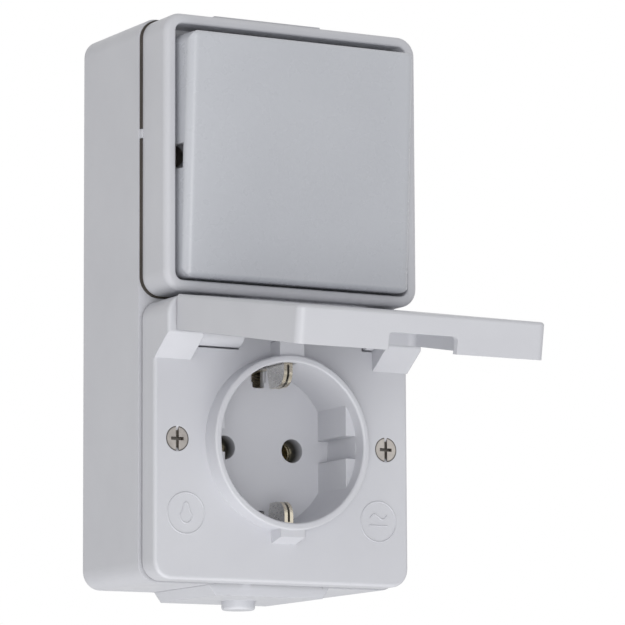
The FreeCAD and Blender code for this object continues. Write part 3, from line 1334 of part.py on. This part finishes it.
def make_socket_base():
    """The insert's moulded base with rooms for the two contacts and the earth strap, and two ears."""
    body = new_body("socket_base")
    half = "socket_base_half"
    pad(body, "Block", "socket_base_back", BASE_TOP, lambda s: rectangle(
        s, "0 - " + half, half, SOCKET_Z + " - " + half, SOCKET_Z + " + " + half, "socket_base_corner"))

    def ears(sketch):
        rectangle(sketch, "10", "socket_ear_across + switch_ear_half",
                  SOCKET_Z + " + socket_ear_up - switch_ear_half",
                  SOCKET_Z + " + socket_ear_up + switch_ear_half", "2")
        rectangle(sketch, "0 - socket_ear_across - switch_ear_half", "0 - 10",
                  SOCKET_Z + " - socket_ear_up - switch_ear_half",
                  SOCKET_Z + " - socket_ear_up + switch_ear_half", "2")

    pad(body, "Ears", "socket_ear_back", "socket_ear_back + socket_ear_thick", ears)
    room_back = "(clamp_back - tail_drop - 0.3)"
    top = BASE_TOP + " + 1"

    def sleeves(sketch, radius):
        circle(sketch, "0 - pin_spacing / 2", SOCKET_Z, radius)
        circle(sketch, "pin_spacing / 2", SOCKET_Z, radius)

    pocket(body, "SleeveRooms", "sleeve_back - sleeve_end_room", top,
           lambda s: sleeves(s, "sleeve_radius + 0.3"))
    pocket(body, "TunnelRooms", "tunnel_back - 0.3", top, lambda s: sleeves(s, "tunnel_radius + 0.3"))
    clamp_low = "(%s - clamp_drop - clamp_half - 0.3)" % SOCKET_Z
    clamp_high = "(%s - clamp_drop + clamp_half + 0.3)" % SOCKET_Z

    def sides(sketch, reach, low, high):
        for side in ("", "0 - "):
            middle = side + "pin_spacing / 2"
            rectangle(sketch, "%s - %s" % (middle, reach), "%s + %s" % (middle, reach), low, high)

    pocket(body, "TailRooms", room_back, top, lambda s: sides(s, "2.3", clamp_low, SOCKET_Z))
    pocket(body, "ClampRooms", room_back, top,
           lambda s: sides(s, "(clamp_half + 0.3)", clamp_low, clamp_high))
    wire_ways = lambda s: [circle(s, "0 - pin_spacing / 2", "0 - clamp_back - 3", "1.9"),
                           circle(s, "pin_spacing / 2", "0 - clamp_back - 3", "1.9")]
    pocket(body, "WireWays", "%s - %s - 1" % (SOCKET_Z, half), clamp_low + " + 1", wire_ways, LEVEL)
    pocket(body, "EarthChannel", "earth_bar_depth - 0.3", top, lambda s: rectangle(
        s, "0 - earth_width / 2 - 0.3", "earth_width / 2 + 0.3", "%s - %s - 1" % (SOCKET_Z, half),
        "%s + %s + 1" % (SOCKET_Z, half)))
    pocket(body, "EarthRoom", "clamp_back - 0.3", top, lambda s: rectangle(
        s, "0 - clamp_half - 0.3", "clamp_half + 0.3", SOCKET_Z + " + earth_clamp_up - clamp_half - 0.3",
        SOCKET_Z + " + earth_clamp_up + clamp_half + 0.3"))
    pocket(body, "EarthWireWay", SOCKET_Z + " + earth_clamp_up + clamp_half - 1",
           "%s + %s + 1" % (SOCKET_Z, half), lambda s: circle(s, "0", "0 - clamp_back - 3", "1.9"), LEVEL)

    def ear_holes(sketch):
        circle(sketch, "socket_ear_across", SOCKET_Z + " + socket_ear_up", "small_screw_radius + 0.15")
        circle(sketch, "0 - socket_ear_across", SOCKET_Z + " - socket_ear_up", "small_screw_radius + 0.15")

    pocket(body, "EarHoles", "socket_ear_back - 1", "socket_ear_back + socket_ear_thick + 1", ear_holes)
    return body


def make_pin_contact(label, side):
    """A slit brass sleeve for the plug's pin, open at its end, with a tail to its terminal clamp."""
    across = side + "pin_spacing / 2"
    drop = "(%s - clamp_drop)" % SOCKET_Z
    back = "(clamp_back - tail_drop)"
    sleeve = rod(label + "Sleeve", across, SOCKET_Z, "sleeve_back", "sleeve_front", "sleeve_radius")
    tail = block(label + "Tail", across + " - 2", across + " + 2", back, back + " + tail_thick",
                 drop, SOCKET_Z)
    cage = block(label + "Cage", across + " - clamp_half", across + " + clamp_half",
                 back, "clamp_front", drop + " - clamp_half", drop + " + clamp_half")
    body = fused(label + "Body", [sleeve, tail, cage])
    depth = "(clamp_back + 3)"
    tools = [
        rod(label + "Bore", across, SOCKET_Z, "sleeve_back - 1", "recess_floor", "sleeve_bore"),
        block(label + "Slit", across + " - sleeve_slit / 2", across + " + sleeve_slit / 2",
              "sleeve_slit_end", "recess_floor", SOCKET_Z + " - 5", SOCKET_Z + " + 5"),
        pole(label + "Wire", across, depth, drop + " - 6", drop + " + 2.4", "1.6"),
        rod(label + "Thread", across, drop, depth, "clamp_front + 1", "clamp_screw_radius + 0.02"),
    ]
    return cut(label, body, tools)


def make_earth_strap():
    """A strip bent into a U behind the recess: each leg ends in a folded clip with a round nose."""
    body = new_body("EarthStrip")
    inner = "(clip_root - earth_thick)"

    def strip(sketch):
        corners = [
            ("0 - earth_bar_depth", "clip_root"), ("0 - clip_front", "clip_root"),
            ("0 - clip_front", "clip_peak"), ("0 - clip_back - clip_lean", "clip_peak"),
            ("0 - clip_back", inner), ("0 - earth_bar_depth - earth_thick", inner)]
        upper = [(depth, "%s + %s" % (SOCKET_Z, height)) for depth, height in corners]
        lower = [(depth, "%s - %s" % (SOCKET_Z, height)) for depth, height in corners[::-1]]
        outline(sketch, upper + lower)

    pad(body, "Strip", "0 - clip_half", "clip_half", strip, SIDE)

    def folds(sketch):
        for sign in ("+", "-"):
            ends = sorted(("%s %s (clip_peak - 1)" % (SOCKET_Z, sign), "%s %s %s" % (SOCKET_Z, sign, inner)),
                          key=number)
            rectangle(sketch, "0 - clip_front - 1", "1 - clip_back", ends[0], ends[1])

    pocket(body, "Folds", "0 - clip_gap / 2", "clip_gap / 2", folds, SIDE)

    def cheek_corner(edge, depth):
        box = edge.BoundBox
        level = abs(abs(box.ZMin - number(SOCKET_Z)) - number("clip_peak")) < 0.01
        return box.XLength > 0.5 and box.ZLength < 0.01 and at_depth(edge, number(depth)) and level

    round_edges(body, "Noses", "clip_nose", lambda edge: cheek_corner(edge, "clip_front"))
    round_edges(body, "Heels", "clip_heel", lambda edge: cheek_corner(edge, "clip_back + clip_lean"))
    bar = block("EarthBar", "0 - earth_width / 2", "earth_width / 2", "earth_bar_depth",
                "earth_bar_depth + earth_thick", SOCKET_Z + " - clip_root", SOCKET_Z + " + clip_root")
    middle = "(%s + earth_clamp_up)" % SOCKET_Z
    cage = block("EarthCage", "0 - clamp_half", "clamp_half", "clamp_back", "earth_bar_depth + 0.2",
                 middle + " - clamp_half", middle + " + clamp_half")
    whole = fused("EarthWhole", [body, bar, cage])
    depth = "(clamp_back + 3)"
    tools = [pole("EarthWire", "0", depth, middle + " - 2.4", middle + " + 6", "1.6"),
             rod("EarthThread", "0", middle, depth, "earth_bar_depth + 3", "clamp_screw_radius + 0.02")]
    return cut("earth_strap", whole, tools)


def make_socket_terminal_screws():
    screws = [plain_screw("SocketClampScrew" + name, side + "pin_spacing / 2",
                          "(%s - clamp_drop)" % SOCKET_Z, "(clamp_front + 0.4)", "4.5",
                          "clamp_screw_radius", "clamp_screw_head", "small_head_height")
              for name, side in (("Right", ""), ("Left", "0 - "))]
    screws.append(plain_screw("EarthClampScrew", "0", "(%s + earth_clamp_up)" % SOCKET_Z,
                              "(earth_bar_depth + earth_thick + 0.02)", "4.5", "clamp_screw_radius",
                              "clamp_screw_head", "small_head_height - 0.1"))
    return group("socket_terminal_screws", screws)


def make_base_screws():
    screws = [plain_screw("BaseScrew" + name, side + "socket_ear_across",
                          "(%s %s socket_ear_up)" % (SOCKET_Z, sign),
                          "(socket_ear_back + socket_ear_thick)", "small_screw_length - 0.5",
                          "pilot_radius - 0.02", "small_head_radius", "small_head_height")
              for name, side, sign in (("Upper", "", "+"), ("Lower", "0 - ", "-"))]
    return group("base_screws", screws)


# Every separate piece, in the order of assembly

pieces = [
    make_back_box(),
    make_cable_entry("top_cable_entry", ""),
    make_cable_entry("bottom_cable_entry", "0 - "),
    make_switch_gasket(),
    make_seal("socket_gasket", "plate_width", PLATE_LOW, PLATE_TOP, "box_corner", "socket_seal_inset"),
    make_switch_frame(),
    make_frame_screws(),
    make_membrane(),
    make_switch_base(),
    make_lever_cradle(),
    make_anvil("upper_fixed_contact", "+"),
    make_anvil("lower_fixed_contact", "-"),
    make_switch_clamps(),
    make_switch_terminal_screws(),
    make_switch_screws(),
    make_socket_cover(),
    make_cover_screws(),
    make_socket_base(),
    make_pin_contact("live_contact", "0 - "),
    make_pin_contact("neutral_contact", ""),
    make_earth_strap(),
    make_socket_terminal_screws(),
    make_base_screws(),
    make_hinge_pin("hinge_pin_left", "0 - hinge_pin_end", "0 - hinge_barrel_end - 0.4"),
    make_hinge_pin("hinge_pin_right", "lid_neck_half - lid_arm - 0.1", "hinge_pin_end"),
    make_lid(),
    make_lid_seal(),
]

rocker = make_rocker()
toggle = make_toggle()
plunger = make_plunger()
spring = make_toggle_spring()
lever = make_contact_lever()
doc.recompute()
for follower in (toggle, plunger, spring):
    turned(follower, "toggle_axis_depth", SWITCH_Z, number("toggle_turn"))
turned(lever, "lever_axis_depth", SWITCH_Z, -number("lever_turn"))
pieces += [rocker, toggle, plunger, spring, lever]
doc.recompute()

for thing in doc.Objects:
    if "Invalid" in thing.State or "Error" in thing.State:
        raise RuntimeError("%s failed: %s" % (thing.Name, thing.State))

for piece in pieces:
    shape = piece.Shape
    if shape.isNull() or not shape.isValid() or not shape.Solids:
        raise RuntimeError("%s has no valid shape" % piece.Label)
    for solid in shape.Solids:
        if solid.Volume <= 0 or not solid.isClosed():
            raise RuntimeError("%s has an open or empty solid" % piece.Label)
    shape.exportStep("parts/%s.step" % piece.Label)
    print(piece.Label, len(shape.Solids), round(shape.Volume, 1))
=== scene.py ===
import math

import bmesh
import bpy
from mathutils import Matrix, Vector


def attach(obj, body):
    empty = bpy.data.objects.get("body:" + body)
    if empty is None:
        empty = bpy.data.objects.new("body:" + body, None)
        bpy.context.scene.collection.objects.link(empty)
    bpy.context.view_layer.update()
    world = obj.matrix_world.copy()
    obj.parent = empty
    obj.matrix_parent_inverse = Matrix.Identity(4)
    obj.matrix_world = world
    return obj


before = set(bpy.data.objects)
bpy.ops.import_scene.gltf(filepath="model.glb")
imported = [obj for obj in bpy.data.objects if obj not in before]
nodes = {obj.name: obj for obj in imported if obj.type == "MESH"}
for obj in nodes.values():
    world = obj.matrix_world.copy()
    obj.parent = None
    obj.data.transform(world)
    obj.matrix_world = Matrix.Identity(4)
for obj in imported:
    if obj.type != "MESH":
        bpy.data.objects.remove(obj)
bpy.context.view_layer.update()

# Back box
# The shell that is screwed to the wall: light grey plastic, injection moulded in one piece.
# Its skin has the fine even grain that a spark-eroded mould leaves, and its edges are softened.


def dial(node, **settings):
    """Sets inputs of a node by name, with an underscore for each space, and gives the node back."""
    for label, value in settings.items():
        node.inputs[label.replace("_", " ")].default_value = value
    return node


def effect_group(name, inputs, outputs):
    """A node group with its input and output nodes, from the names and kinds of its sockets."""
    group = bpy.data.node_groups.new(name, "ShaderNodeTree")
    for way, sockets in (("INPUT", inputs), ("OUTPUT", outputs)):
        for label, kind in sockets.items():
            group.interface.new_socket(label, in_out=way, socket_type="NodeSocket" + kind)
    return group, group.nodes.new("NodeGroupInput"), group.nodes.new("NodeGroupOutput")


skin_outputs = {"Tone": "Float", "Roughness": "Float", "Normal": "Vector"}
grain_relief = 0.00005
edge_radius = 0.00035


def moulded_grain_group():
    """A moulded skin: slow changes of tone, patches of gloss, fine grain and softened edges."""
    group, ins, outs = effect_group(
        "moulded_grain",
        {"Grain Scale": "Float", "Grain Depth": "Float", "Gloss Low": "Float", "Gloss High": "Float"},
        skin_outputs)
    place = group.nodes.new("ShaderNodeTexCoord")
    cloud = dial(group.nodes.new("ShaderNodeTexNoise"), Scale=38, Detail=3)
    smear = dial(group.nodes.new("ShaderNodeTexNoise"), Scale=170, Detail=4)
    speckle = dial(group.nodes.new("ShaderNodeTexNoise"), Detail=2)
    tone = dial(group.nodes.new("ShaderNodeMapRange"), From_Min=0.32, From_Max=0.68)
    gloss = dial(group.nodes.new("ShaderNodeMapRange"), From_Min=0.3, From_Max=0.7)
    edge = dial(group.nodes.new("ShaderNodeBevel"), Radius=edge_radius)
    edge.samples = 6
    bump = dial(group.nodes.new("ShaderNodeBump"), Distance=grain_relief)
    links = group.links
    for noise in (cloud, smear, speckle):
        links.new(place.outputs["Object"], noise.inputs["Vector"])
    links.new(ins.outputs["Grain Scale"], speckle.inputs["Scale"])
    links.new(ins.outputs["Grain Depth"], bump.inputs["Strength"])
    links.new(ins.outputs["Gloss Low"], gloss.inputs["To Min"])
    links.new(ins.outputs["Gloss High"], gloss.inputs["To Max"])
    links.new(cloud.outputs["Fac"], tone.inputs["Value"])
    links.new(smear.outputs["Fac"], gloss.inputs["Value"])
    links.new(speckle.outputs["Fac"], bump.inputs["Height"])
    links.new(edge.outputs["Normal"], bump.inputs["Normal"])
    links.new(tone.outputs["Result"], outs.inputs["Tone"])
    links.new(gloss.outputs["Result"], outs.inputs["Roughness"])
    links.new(bump.outputs["Normal"], outs.inputs["Normal"])
    return group


moulded_grain = moulded_grain_group()


def finish(name, effect, dark, pale, metallic=0, **values):
    """A material between two tones, with the gloss and the relief that an effect group gives."""
    material = bpy.data.materials.new(name)
    material.use_nodes = True
    tree = material.node_tree
    shader = dial(tree.nodes["Principled BSDF"], Metallic=metallic, IOR=1.5)
    skin = tree.nodes.new("ShaderNodeGroup")
    skin.node_tree = effect
    dial(skin, **values)
    shade = tree.nodes.new("ShaderNodeMix")
    shade.data_type = "RGBA"
    dial(shade, A=(*dark, 1), B=(*pale, 1))
    tree.links.new(skin.outputs["Tone"], shade.inputs["Factor"])
    tree.links.new(shade.outputs["Result"], shader.inputs["Base Color"])
    tree.links.new(skin.outputs["Roughness"], shader.inputs["Roughness"])
    tree.links.new(skin.outputs["Normal"], shader.inputs["Normal"])
    return material


def moulded(name, dark, pale, grain, depth, low, high):
    """A moulded plastic or rubber, with its grains to the metre and its range of gloss."""
    return finish(name, moulded_grain, dark, pale,
                  Grain_Scale=grain, Grain_Depth=depth, Gloss_Low=low, Gloss_High=high)


def finish_nodes(material, *pieces):
    """Gives pieces of the frame their finish."""
    for piece in pieces:
        nodes[piece].data.materials.clear()
        nodes[piece].data.materials.append(material)


shell_skin = {"dark": (0.560, 0.565, 0.600), "pale": (0.590, 0.596, 0.630),
              "grain": 2600, "depth": 0.12, "low": 0.38, "high": 0.46}
housing_grey = moulded("housing_grey", **shell_skin)
finish_nodes(housing_grey, "back_box")

# Cable entries
# Two plastic inserts slid into the end walls, each with a round nub that is cut off for the cable.
# They are a shade duller than the box and come from another mould.

entry_grey = moulded("entry_grey", dark=(0.555, 0.562, 0.595), pale=(0.585, 0.592, 0.625),
                     grain=2000, depth=0.15, low=0.42, high=0.52)
finish_nodes(entry_grey, "top_cable_entry", "bottom_cable_entry")

# Rubber rings
# Two flat rings of dark brown rubber between the box and its two covers, and a sheet of the same
# rubber behind the rocker. The rings show only as a thin dark line in the gap.

seal_rubber = moulded("seal_rubber", dark=(0.030, 0.024, 0.019), pale=(0.052, 0.042, 0.034),
                      grain=3200, depth=0.5, low=0.6, high=0.8)
finish_nodes(seal_rubber, "switch_gasket", "socket_gasket", "rocker_membrane")

# Switch and socket inserts
# The hidden working parts: pale moulded bases, the toggle on its pin, brass contacts and clamps.
# The brass is stamped strip, bright with a faint grain of the rolling.
# The earth strap's wide faces are nickelled, and its cut edges are left brass.

insert_plastic = moulded("insert_plastic", dark=(0.66, 0.64, 0.57), pale=(0.72, 0.70, 0.63),
                         grain=1500, depth=0.25, low=0.5, high=0.62)
finish_nodes(insert_plastic, "switch_base", "toggle", "socket_base")

streak_relief = 0.00003
streak_along = 0.12


def worked_marks_group():
    """A bare metal's skin: tone in small patches, and streaks of gloss and relief along X."""
    group, ins, outs = effect_group(
        "worked_marks",
        {"Streak Scale": "Vector", "Streak Depth": "Float", "Gloss Low": "Float", "Gloss High": "Float"},
        skin_outputs)
    place = group.nodes.new("ShaderNodeTexCoord")
    stretch = group.nodes.new("ShaderNodeMapping")
    streak = dial(group.nodes.new("ShaderNodeTexNoise"), Scale=1, Detail=3)
    patch = dial(group.nodes.new("ShaderNodeTexNoise"), Scale=420)
    gloss = group.nodes.new("ShaderNodeMapRange")
    bump = dial(group.nodes.new("ShaderNodeBump"), Distance=streak_relief)
    links = group.links
    links.new(place.outputs["Object"], stretch.inputs["Vector"])
    links.new(ins.outputs["Streak Scale"], stretch.inputs["Scale"])
    links.new(stretch.outputs["Vector"], streak.inputs["Vector"])
    links.new(place.outputs["Object"], patch.inputs["Vector"])
    links.new(ins.outputs["Gloss Low"], gloss.inputs["To Min"])
    links.new(ins.outputs["Gloss High"], gloss.inputs["To Max"])
    links.new(streak.outputs["Fac"], gloss.inputs["Value"])
    links.new(ins.outputs["Streak Depth"], bump.inputs["Strength"])
    links.new(streak.outputs["Fac"], bump.inputs["Height"])
    links.new(patch.outputs["Fac"], outs.inputs["Tone"])
    links.new(gloss.outputs["Result"], outs.inputs["Roughness"])
    links.new(bump.outputs["Normal"], outs.inputs["Normal"])
    return group


worked_marks = worked_marks_group()


def worked_metal(name, dark, pale, low, high, lines, depth):
    """A bare metal with its range of gloss, and its lines to the metre across the streaks."""
    return finish(name, worked_marks, dark, pale, metallic=1, Gloss_Low=low, Gloss_High=high,
                  Streak_Scale=(lines * streak_along, lines, lines), Streak_Depth=depth)


def coated(material, mask, colour):
    """Lays a colour over a finish where the mask is one."""
    tree = material.node_tree
    base = tree.nodes["Principled BSDF"].inputs["Base Color"]
    coat = tree.nodes.new("ShaderNodeMix")
    coat.data_type = "RGBA"
    dial(coat, B=(*colour, 1))
    tree.links.new(mask, coat.inputs["Factor"])
    tree.links.new(base.links[0].from_socket, coat.inputs["A"])
    tree.links.new(coat.outputs["Result"], base)


contact_brass = worked_metal("contact_brass", dark=(0.72, 0.62, 0.40), pale=(0.83, 0.75, 0.55),
                             low=0.18, high=0.34, lines=3000, depth=0.15)
finish_nodes(contact_brass, "plunger", "contact_lever", "lever_cradle", "upper_fixed_contact",
             "lower_fixed_contact", "switch_terminals", "live_contact", "neutral_contact")

clip_strip = worked_metal("clip_strip", dark=(0.63, 0.57, 0.45), pale=(0.77, 0.71, 0.60),
                          low=0.2, high=0.36, lines=3000, depth=0.03)
nickel = (0.80, 0.785, 0.75)
strip_nodes, strip_links = clip_strip.node_tree.nodes, clip_strip.node_tree.links
facing = strip_nodes.new("ShaderNodeTexCoord")
facing_parts = strip_nodes.new("ShaderNodeSeparateXYZ")
sideways = strip_nodes.new("ShaderNodeMath")
sideways.operation = "ABSOLUTE"
wide_face = dial(strip_nodes.new("ShaderNodeMapRange"), From_Min=0.6, From_Max=0.8)
strip_links.new(facing.outputs["Normal"], facing_parts.inputs["Vector"])
strip_links.new(facing_parts.outputs["X"], sideways.inputs[0])
strip_links.new(sideways.outputs[0], wide_face.inputs["Value"])
coated(clip_strip, wide_face.outputs["Result"], nickel)
finish_nodes(clip_strip, "earth_strap")

spring_steel = worked_metal("spring_steel", dark=(0.50, 0.50, 0.52), pale=(0.62, 0.62, 0.64),
                            low=0.2, high=0.35, lines=6000, depth=0.1)
finish_nodes(spring_steel, "toggle_spring")

# Screws and hinge pins
# Turned steel with a nickel finish, which looks a little warm beside the grey plastic.
# On the cover's two screws the cross recess and the rim round the head are darkened with painted shade.

screw_steel = worked_metal("screw_steel", dark=(0.34, 0.31, 0.28), pale=(0.52, 0.48, 0.44),
                           low=0.22, high=0.4, lines=5000, depth=0.2)
finish_nodes(screw_steel, "switch_terminal_screws", "switch_screws", "frame_screws",
             "socket_terminal_screws", "base_screws", "hinge_pin_left", "hinge_pin_right")


def depth_mask_group():
    """A mask that rises from nothing at y = Face to one at y = Back."""
    group, ins, outs = effect_group("depth_mask", {"Face": "Float", "Back": "Float"}, {"Mask": "Float"})
    place = group.nodes.new("ShaderNodeTexCoord")
    parts = group.nodes.new("ShaderNodeSeparateXYZ")
    rise = group.nodes.new("ShaderNodeMapRange")
    links = group.links
    links.new(place.outputs["Object"], parts.inputs["Vector"])
    links.new(parts.outputs["Y"], rise.inputs["Value"])
    links.new(ins.outputs["Face"], rise.inputs["From Min"])
    links.new(ins.outputs["Back"], rise.inputs["From Max"])
    links.new(rise.outputs["Result"], outs.inputs["Mask"])
    return group


depth_mask = depth_mask_group()


def painted_recess_shade(material, face, depth, deep):
    """Paints shade into a recess: fades a finish to the colour deep, from a plane at y = face backwards
    over a depth.
    """
    mask = material.node_tree.nodes.new("ShaderNodeGroup")
    mask.node_tree = depth_mask
    dial(mask, Face=face, Back=face + depth)
    coated(material, mask.outputs["Mask"], deep)


head_steel = worked_metal("head_steel", dark=(0.38, 0.355, 0.33), pale=(0.62, 0.58, 0.545),
                          low=0.28, high=0.5, lines=2600, depth=0.6)
# Painted shade: the cross recess darkens from the head's face backwards over 0.9 mm.
painted_recess_shade(head_steel, face=-0.03752, depth=0.0009, deep=(0.13, 0.12, 0.11))
screw_across, screw_height = 0.0291, -0.035
# Painted shade: a dark ring is painted on each head's outer rim, from 2.65 to 2.95 mm off its centre.
rim_start, rim_full = 0.00265, 0.00295
rim_painted_shade = (0.06, 0.055, 0.05)
head_nodes, head_links = head_steel.node_tree.nodes, head_steel.node_tree.links
head_place = head_nodes.new("ShaderNodeTexCoord")
head_parts = head_nodes.new("ShaderNodeSeparateXYZ")
either_side = head_nodes.new("ShaderNodeMath")
either_side.operation = "ABSOLUTE"
head_plane = head_nodes.new("ShaderNodeCombineXYZ")
head_reach = head_nodes.new("ShaderNodeVectorMath")
head_reach.operation = "DISTANCE"
head_reach.inputs[1].default_value = (screw_across, 0, screw_height)
rim = dial(head_nodes.new("ShaderNodeMapRange"), From_Min=rim_start, From_Max=rim_full)
head_links.new(head_place.outputs["Object"], head_parts.inputs["Vector"])
head_links.new(head_parts.outputs["X"], either_side.inputs[0])
head_links.new(either_side.outputs[0], head_plane.inputs["X"])
head_links.new(head_parts.outputs["Z"], head_plane.inputs["Z"])
head_links.new(head_plane.outputs["Vector"], head_reach.inputs[0])
head_links.new(head_reach.outputs["Value"], rim.inputs["Value"])
coated(head_steel, rim.outputs["Result"], rim_painted_shade)
finish_nodes(head_steel, "cover_screws")

# Switch frame
# The switch's cover, moulded in the same grey as the box, with a rounded lip round the rocker.
# Two screws hidden under the rocker hold it to the box, over the upper rubber ring.

finish_nodes(housing_grey, "switch_frame")

# Rocker
# One moulding with softly rounded sides, polished smoother than the frame round it.
# It tilts on two ribs in the frame and has a small notch in its left side.

rocker_gloss = moulded("rocker_gloss", dark=(0.535, 0.550, 0.590), pale=(0.555, 0.570, 0.610),
                       grain=900, depth=0.004, low=0.27, high=0.28)
finish_nodes(rocker_gloss, "rocker")

# Socket cover
# Plate, collar, deep recess and hinge blocks in one moulding, of the same grey as the box.
# Behind the recess floor the pin holes and the clips' slots fade to a painted shade that stands in for
# the dark inside them.

cover_grey = moulded("cover_grey", **shell_skin)
# Painted shade: surfaces further back than the recess floor fade to near black over 3.5 mm.
painted_recess_shade(cover_grey, face=-0.0244, depth=0.0035, deep=(0.045, 0.045, 0.048))
finish_nodes(cover_grey, "socket_cover")

# Round marks on the plate
# Two fine raised rings low on the plate, a drop in the left one and a wave over a bar in the right.
# They are ridges of the same moulding, drawn as curves with a round section half sunk in the face.

plate_face = -0.03760
marks = bpy.data.curves.new("plate_marks", "CURVE")
marks.dimensions = "3D"
marks.bevel_depth = 0.00017
marks.bevel_resolution = 2
marks.resolution_u = 6


def ridge(centre, points, closed):
    """Adds a smooth ridge on the plate's face, through points given as x and z from a centre."""
    spline = marks.splines.new("BEZIER")
    spline.bezier_points.add(len(points) - 1)
    for knot, (x, z) in zip(spline.bezier_points, points):
        knot.co = (centre[0] + x, plate_face, centre[1] + z)
        knot.handle_left_type = knot.handle_right_type = "AUTO"
    spline.use_cyclic_u = closed


mark_side, mark_height, mark_radius, ring_knots = 0.0268, -0.0530, 0.0050, 16
left_mark, right_mark = (-mark_side, mark_height), (mark_side, mark_height)
ring_turns = [knot * math.tau / ring_knots for knot in range(ring_knots)]
ring = [(mark_radius * math.cos(turn), mark_radius * math.sin(turn)) for turn in ring_turns]
drop = ((0, 0.0026), (-0.0010, 0.0006), (-0.0016, -0.0009),
        (0, -0.0024), (0.0016, -0.0009), (0.0010, 0.0006))
wave = ((-0.0024, 0.0009), (-0.0012, 0.0018), (0, 0.0012), (0.0012, 0.0006), (0.0024, 0.0015))
bar = ((-0.0026, -0.0010), (0, -0.0010), (0.0026, -0.0010))
ridge(left_mark, ring, True)
ridge(right_mark, ring, True)
ridge(left_mark, drop, True)
ridge(right_mark, wave, False)
ridge(right_mark, bar, False)
plate_marks = bpy.data.objects.new("plate_marks", marks)
bpy.context.scene.collection.objects.link(plate_marks)
marks.materials.append(housing_grey)
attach(plate_marks, "housing")

# Lid
# The hinged flap over the socket, a shallow tray of the same grey that turns on two steel pins.
# A soft rubber ring lies inside it and meets the collar when the lid is shut.

lid_rubber = moulded("lid_rubber", dark=(0.060, 0.060, 0.062), pale=(0.085, 0.085, 0.088),
                     grain=3000, depth=0.4, low=0.55, high=0.75)
finish_nodes(housing_grey, "lid")
finish_nodes(lid_rubber, "lid_seal")

# Floor, light and camera
# A pale floor far below, a plain white surround, and four large soft lamps.
# The camera stands where the photograph was taken from.

floor_half, floor_drop = 3, 0.6
floor_mesh = bpy.data.meshes.new("floor")
sheet = bmesh.new()
bmesh.ops.create_grid(sheet, x_segments=1, y_segments=1, size=floor_half)
bmesh.ops.translate(sheet, verts=sheet.verts, vec=(0, 0, -floor_drop))
sheet.to_mesh(floor_mesh)
sheet.free()
floor = bpy.data.objects.new("floor", floor_mesh)
bpy.context.scene.collection.objects.link(floor)
floor_paint = bpy.data.materials.new("floor_paint")
floor_paint.use_nodes = True
dial(floor_paint.node_tree.nodes["Principled BSDF"], Base_Color=(0.82, 0.82, 0.82, 1), Roughness=0.7)
floor_mesh.materials.append(floor_paint)

world = bpy.data.worlds.new("surround")
bpy.context.scene.world = world
world.use_nodes = True
paper_white = (1, 1, 1, 1)
sky_nodes, sky_links = world.node_tree.nodes, world.node_tree.links
glow = dial(sky_nodes["Background"], Color=paper_white, Strength=0.47)
backdrop = dial(sky_nodes.new("ShaderNodeBackground"), Color=paper_white, Strength=1)
ray = sky_nodes.new("ShaderNodeLightPath")
seen = sky_nodes.new("ShaderNodeMath")
seen.operation = "MAXIMUM"
seen_or_through = sky_nodes.new("ShaderNodeMath")
seen_or_through.operation = "MAXIMUM"
swap = sky_nodes.new("ShaderNodeMixShader")
sky_links.new(ray.outputs["Is Camera Ray"], seen.inputs[0])
sky_links.new(ray.outputs["Is Glossy Ray"], seen.inputs[1])
sky_links.new(seen.outputs[0], seen_or_through.inputs[0])
sky_links.new(ray.outputs["Is Transmission Ray"], seen_or_through.inputs[1])
sky_links.new(seen_or_through.outputs[0], swap.inputs["Fac"])
sky_links.new(glow.outputs[0], swap.inputs[1])
sky_links.new(backdrop.outputs[0], swap.inputs[2])
sky_links.new(swap.outputs[0], sky_nodes["World Output"].inputs["Surface"])


def soft_lamp(name, place, aim, width, height, power):
    """A large rectangular soft lamp at a place, facing a point."""
    light = bpy.data.lights.new(name, "AREA")
    light.shape = "RECTANGLE"
    light.size = width
    light.size_y = height
    light.energy = power
    lamp = bpy.data.objects.new(name, light)
    lamp.location = place
    lamp.rotation_euler = (Vector(aim) - Vector(place)).to_track_quat("-Z", "Y").to_euler()
    bpy.context.scene.collection.objects.link(lamp)


soft_lamp("under_lamp", place=(-0.08, -0.2, -0.5), aim=(0, -0.04, 0), width=0.5, height=0.4, power=1.6)
soft_lamp("front_lamp", place=(-0.52, -1.2, -0.2), aim=(0, -0.03, 0), width=0.6, height=0.7, power=5.8)
soft_lamp("left_lamp", place=(-1.1, -0.3, 0.1), aim=(0, -0.02, 0), width=0.8, height=1.2, power=1.0)
soft_lamp("top_lamp", place=(0.3, -0.5, 1.1), aim=(0, -0.02, 0), width=0.8, height=0.8, power=1.4)

camera_place = (-0.478705, -0.911001, -0.143822)
yaw, pitch, roll = math.radians(29.15), math.radians(8.08), math.radians(-0.28)
forward = Vector((math.sin(yaw) * math.cos(pitch), math.cos(yaw) * math.cos(pitch),
                  math.sin(pitch)))
level = Vector((math.cos(yaw), -math.sin(yaw), 0))
upward = level.cross(forward)
right = math.cos(roll) * level + math.sin(roll) * upward
up = math.cos(roll) * upward - math.sin(roll) * level
camera_data = bpy.data.cameras.new("camera")
camera_data.sensor_width = 36
camera_data.lens = 235.35
camera_data.clip_start = 0.01
camera_data.clip_end = 20
camera = bpy.data.objects.new("camera", camera_data)
camera_turn = Matrix((right, up, -forward)).transposed().to_4x4()
camera.matrix_world = Matrix.Translation(camera_place) @ camera_turn
bpy.context.scene.collection.objects.link(camera)
bpy.context.scene.camera = camera
bpy.context.scene.view_settings.view_transform = "Standard"
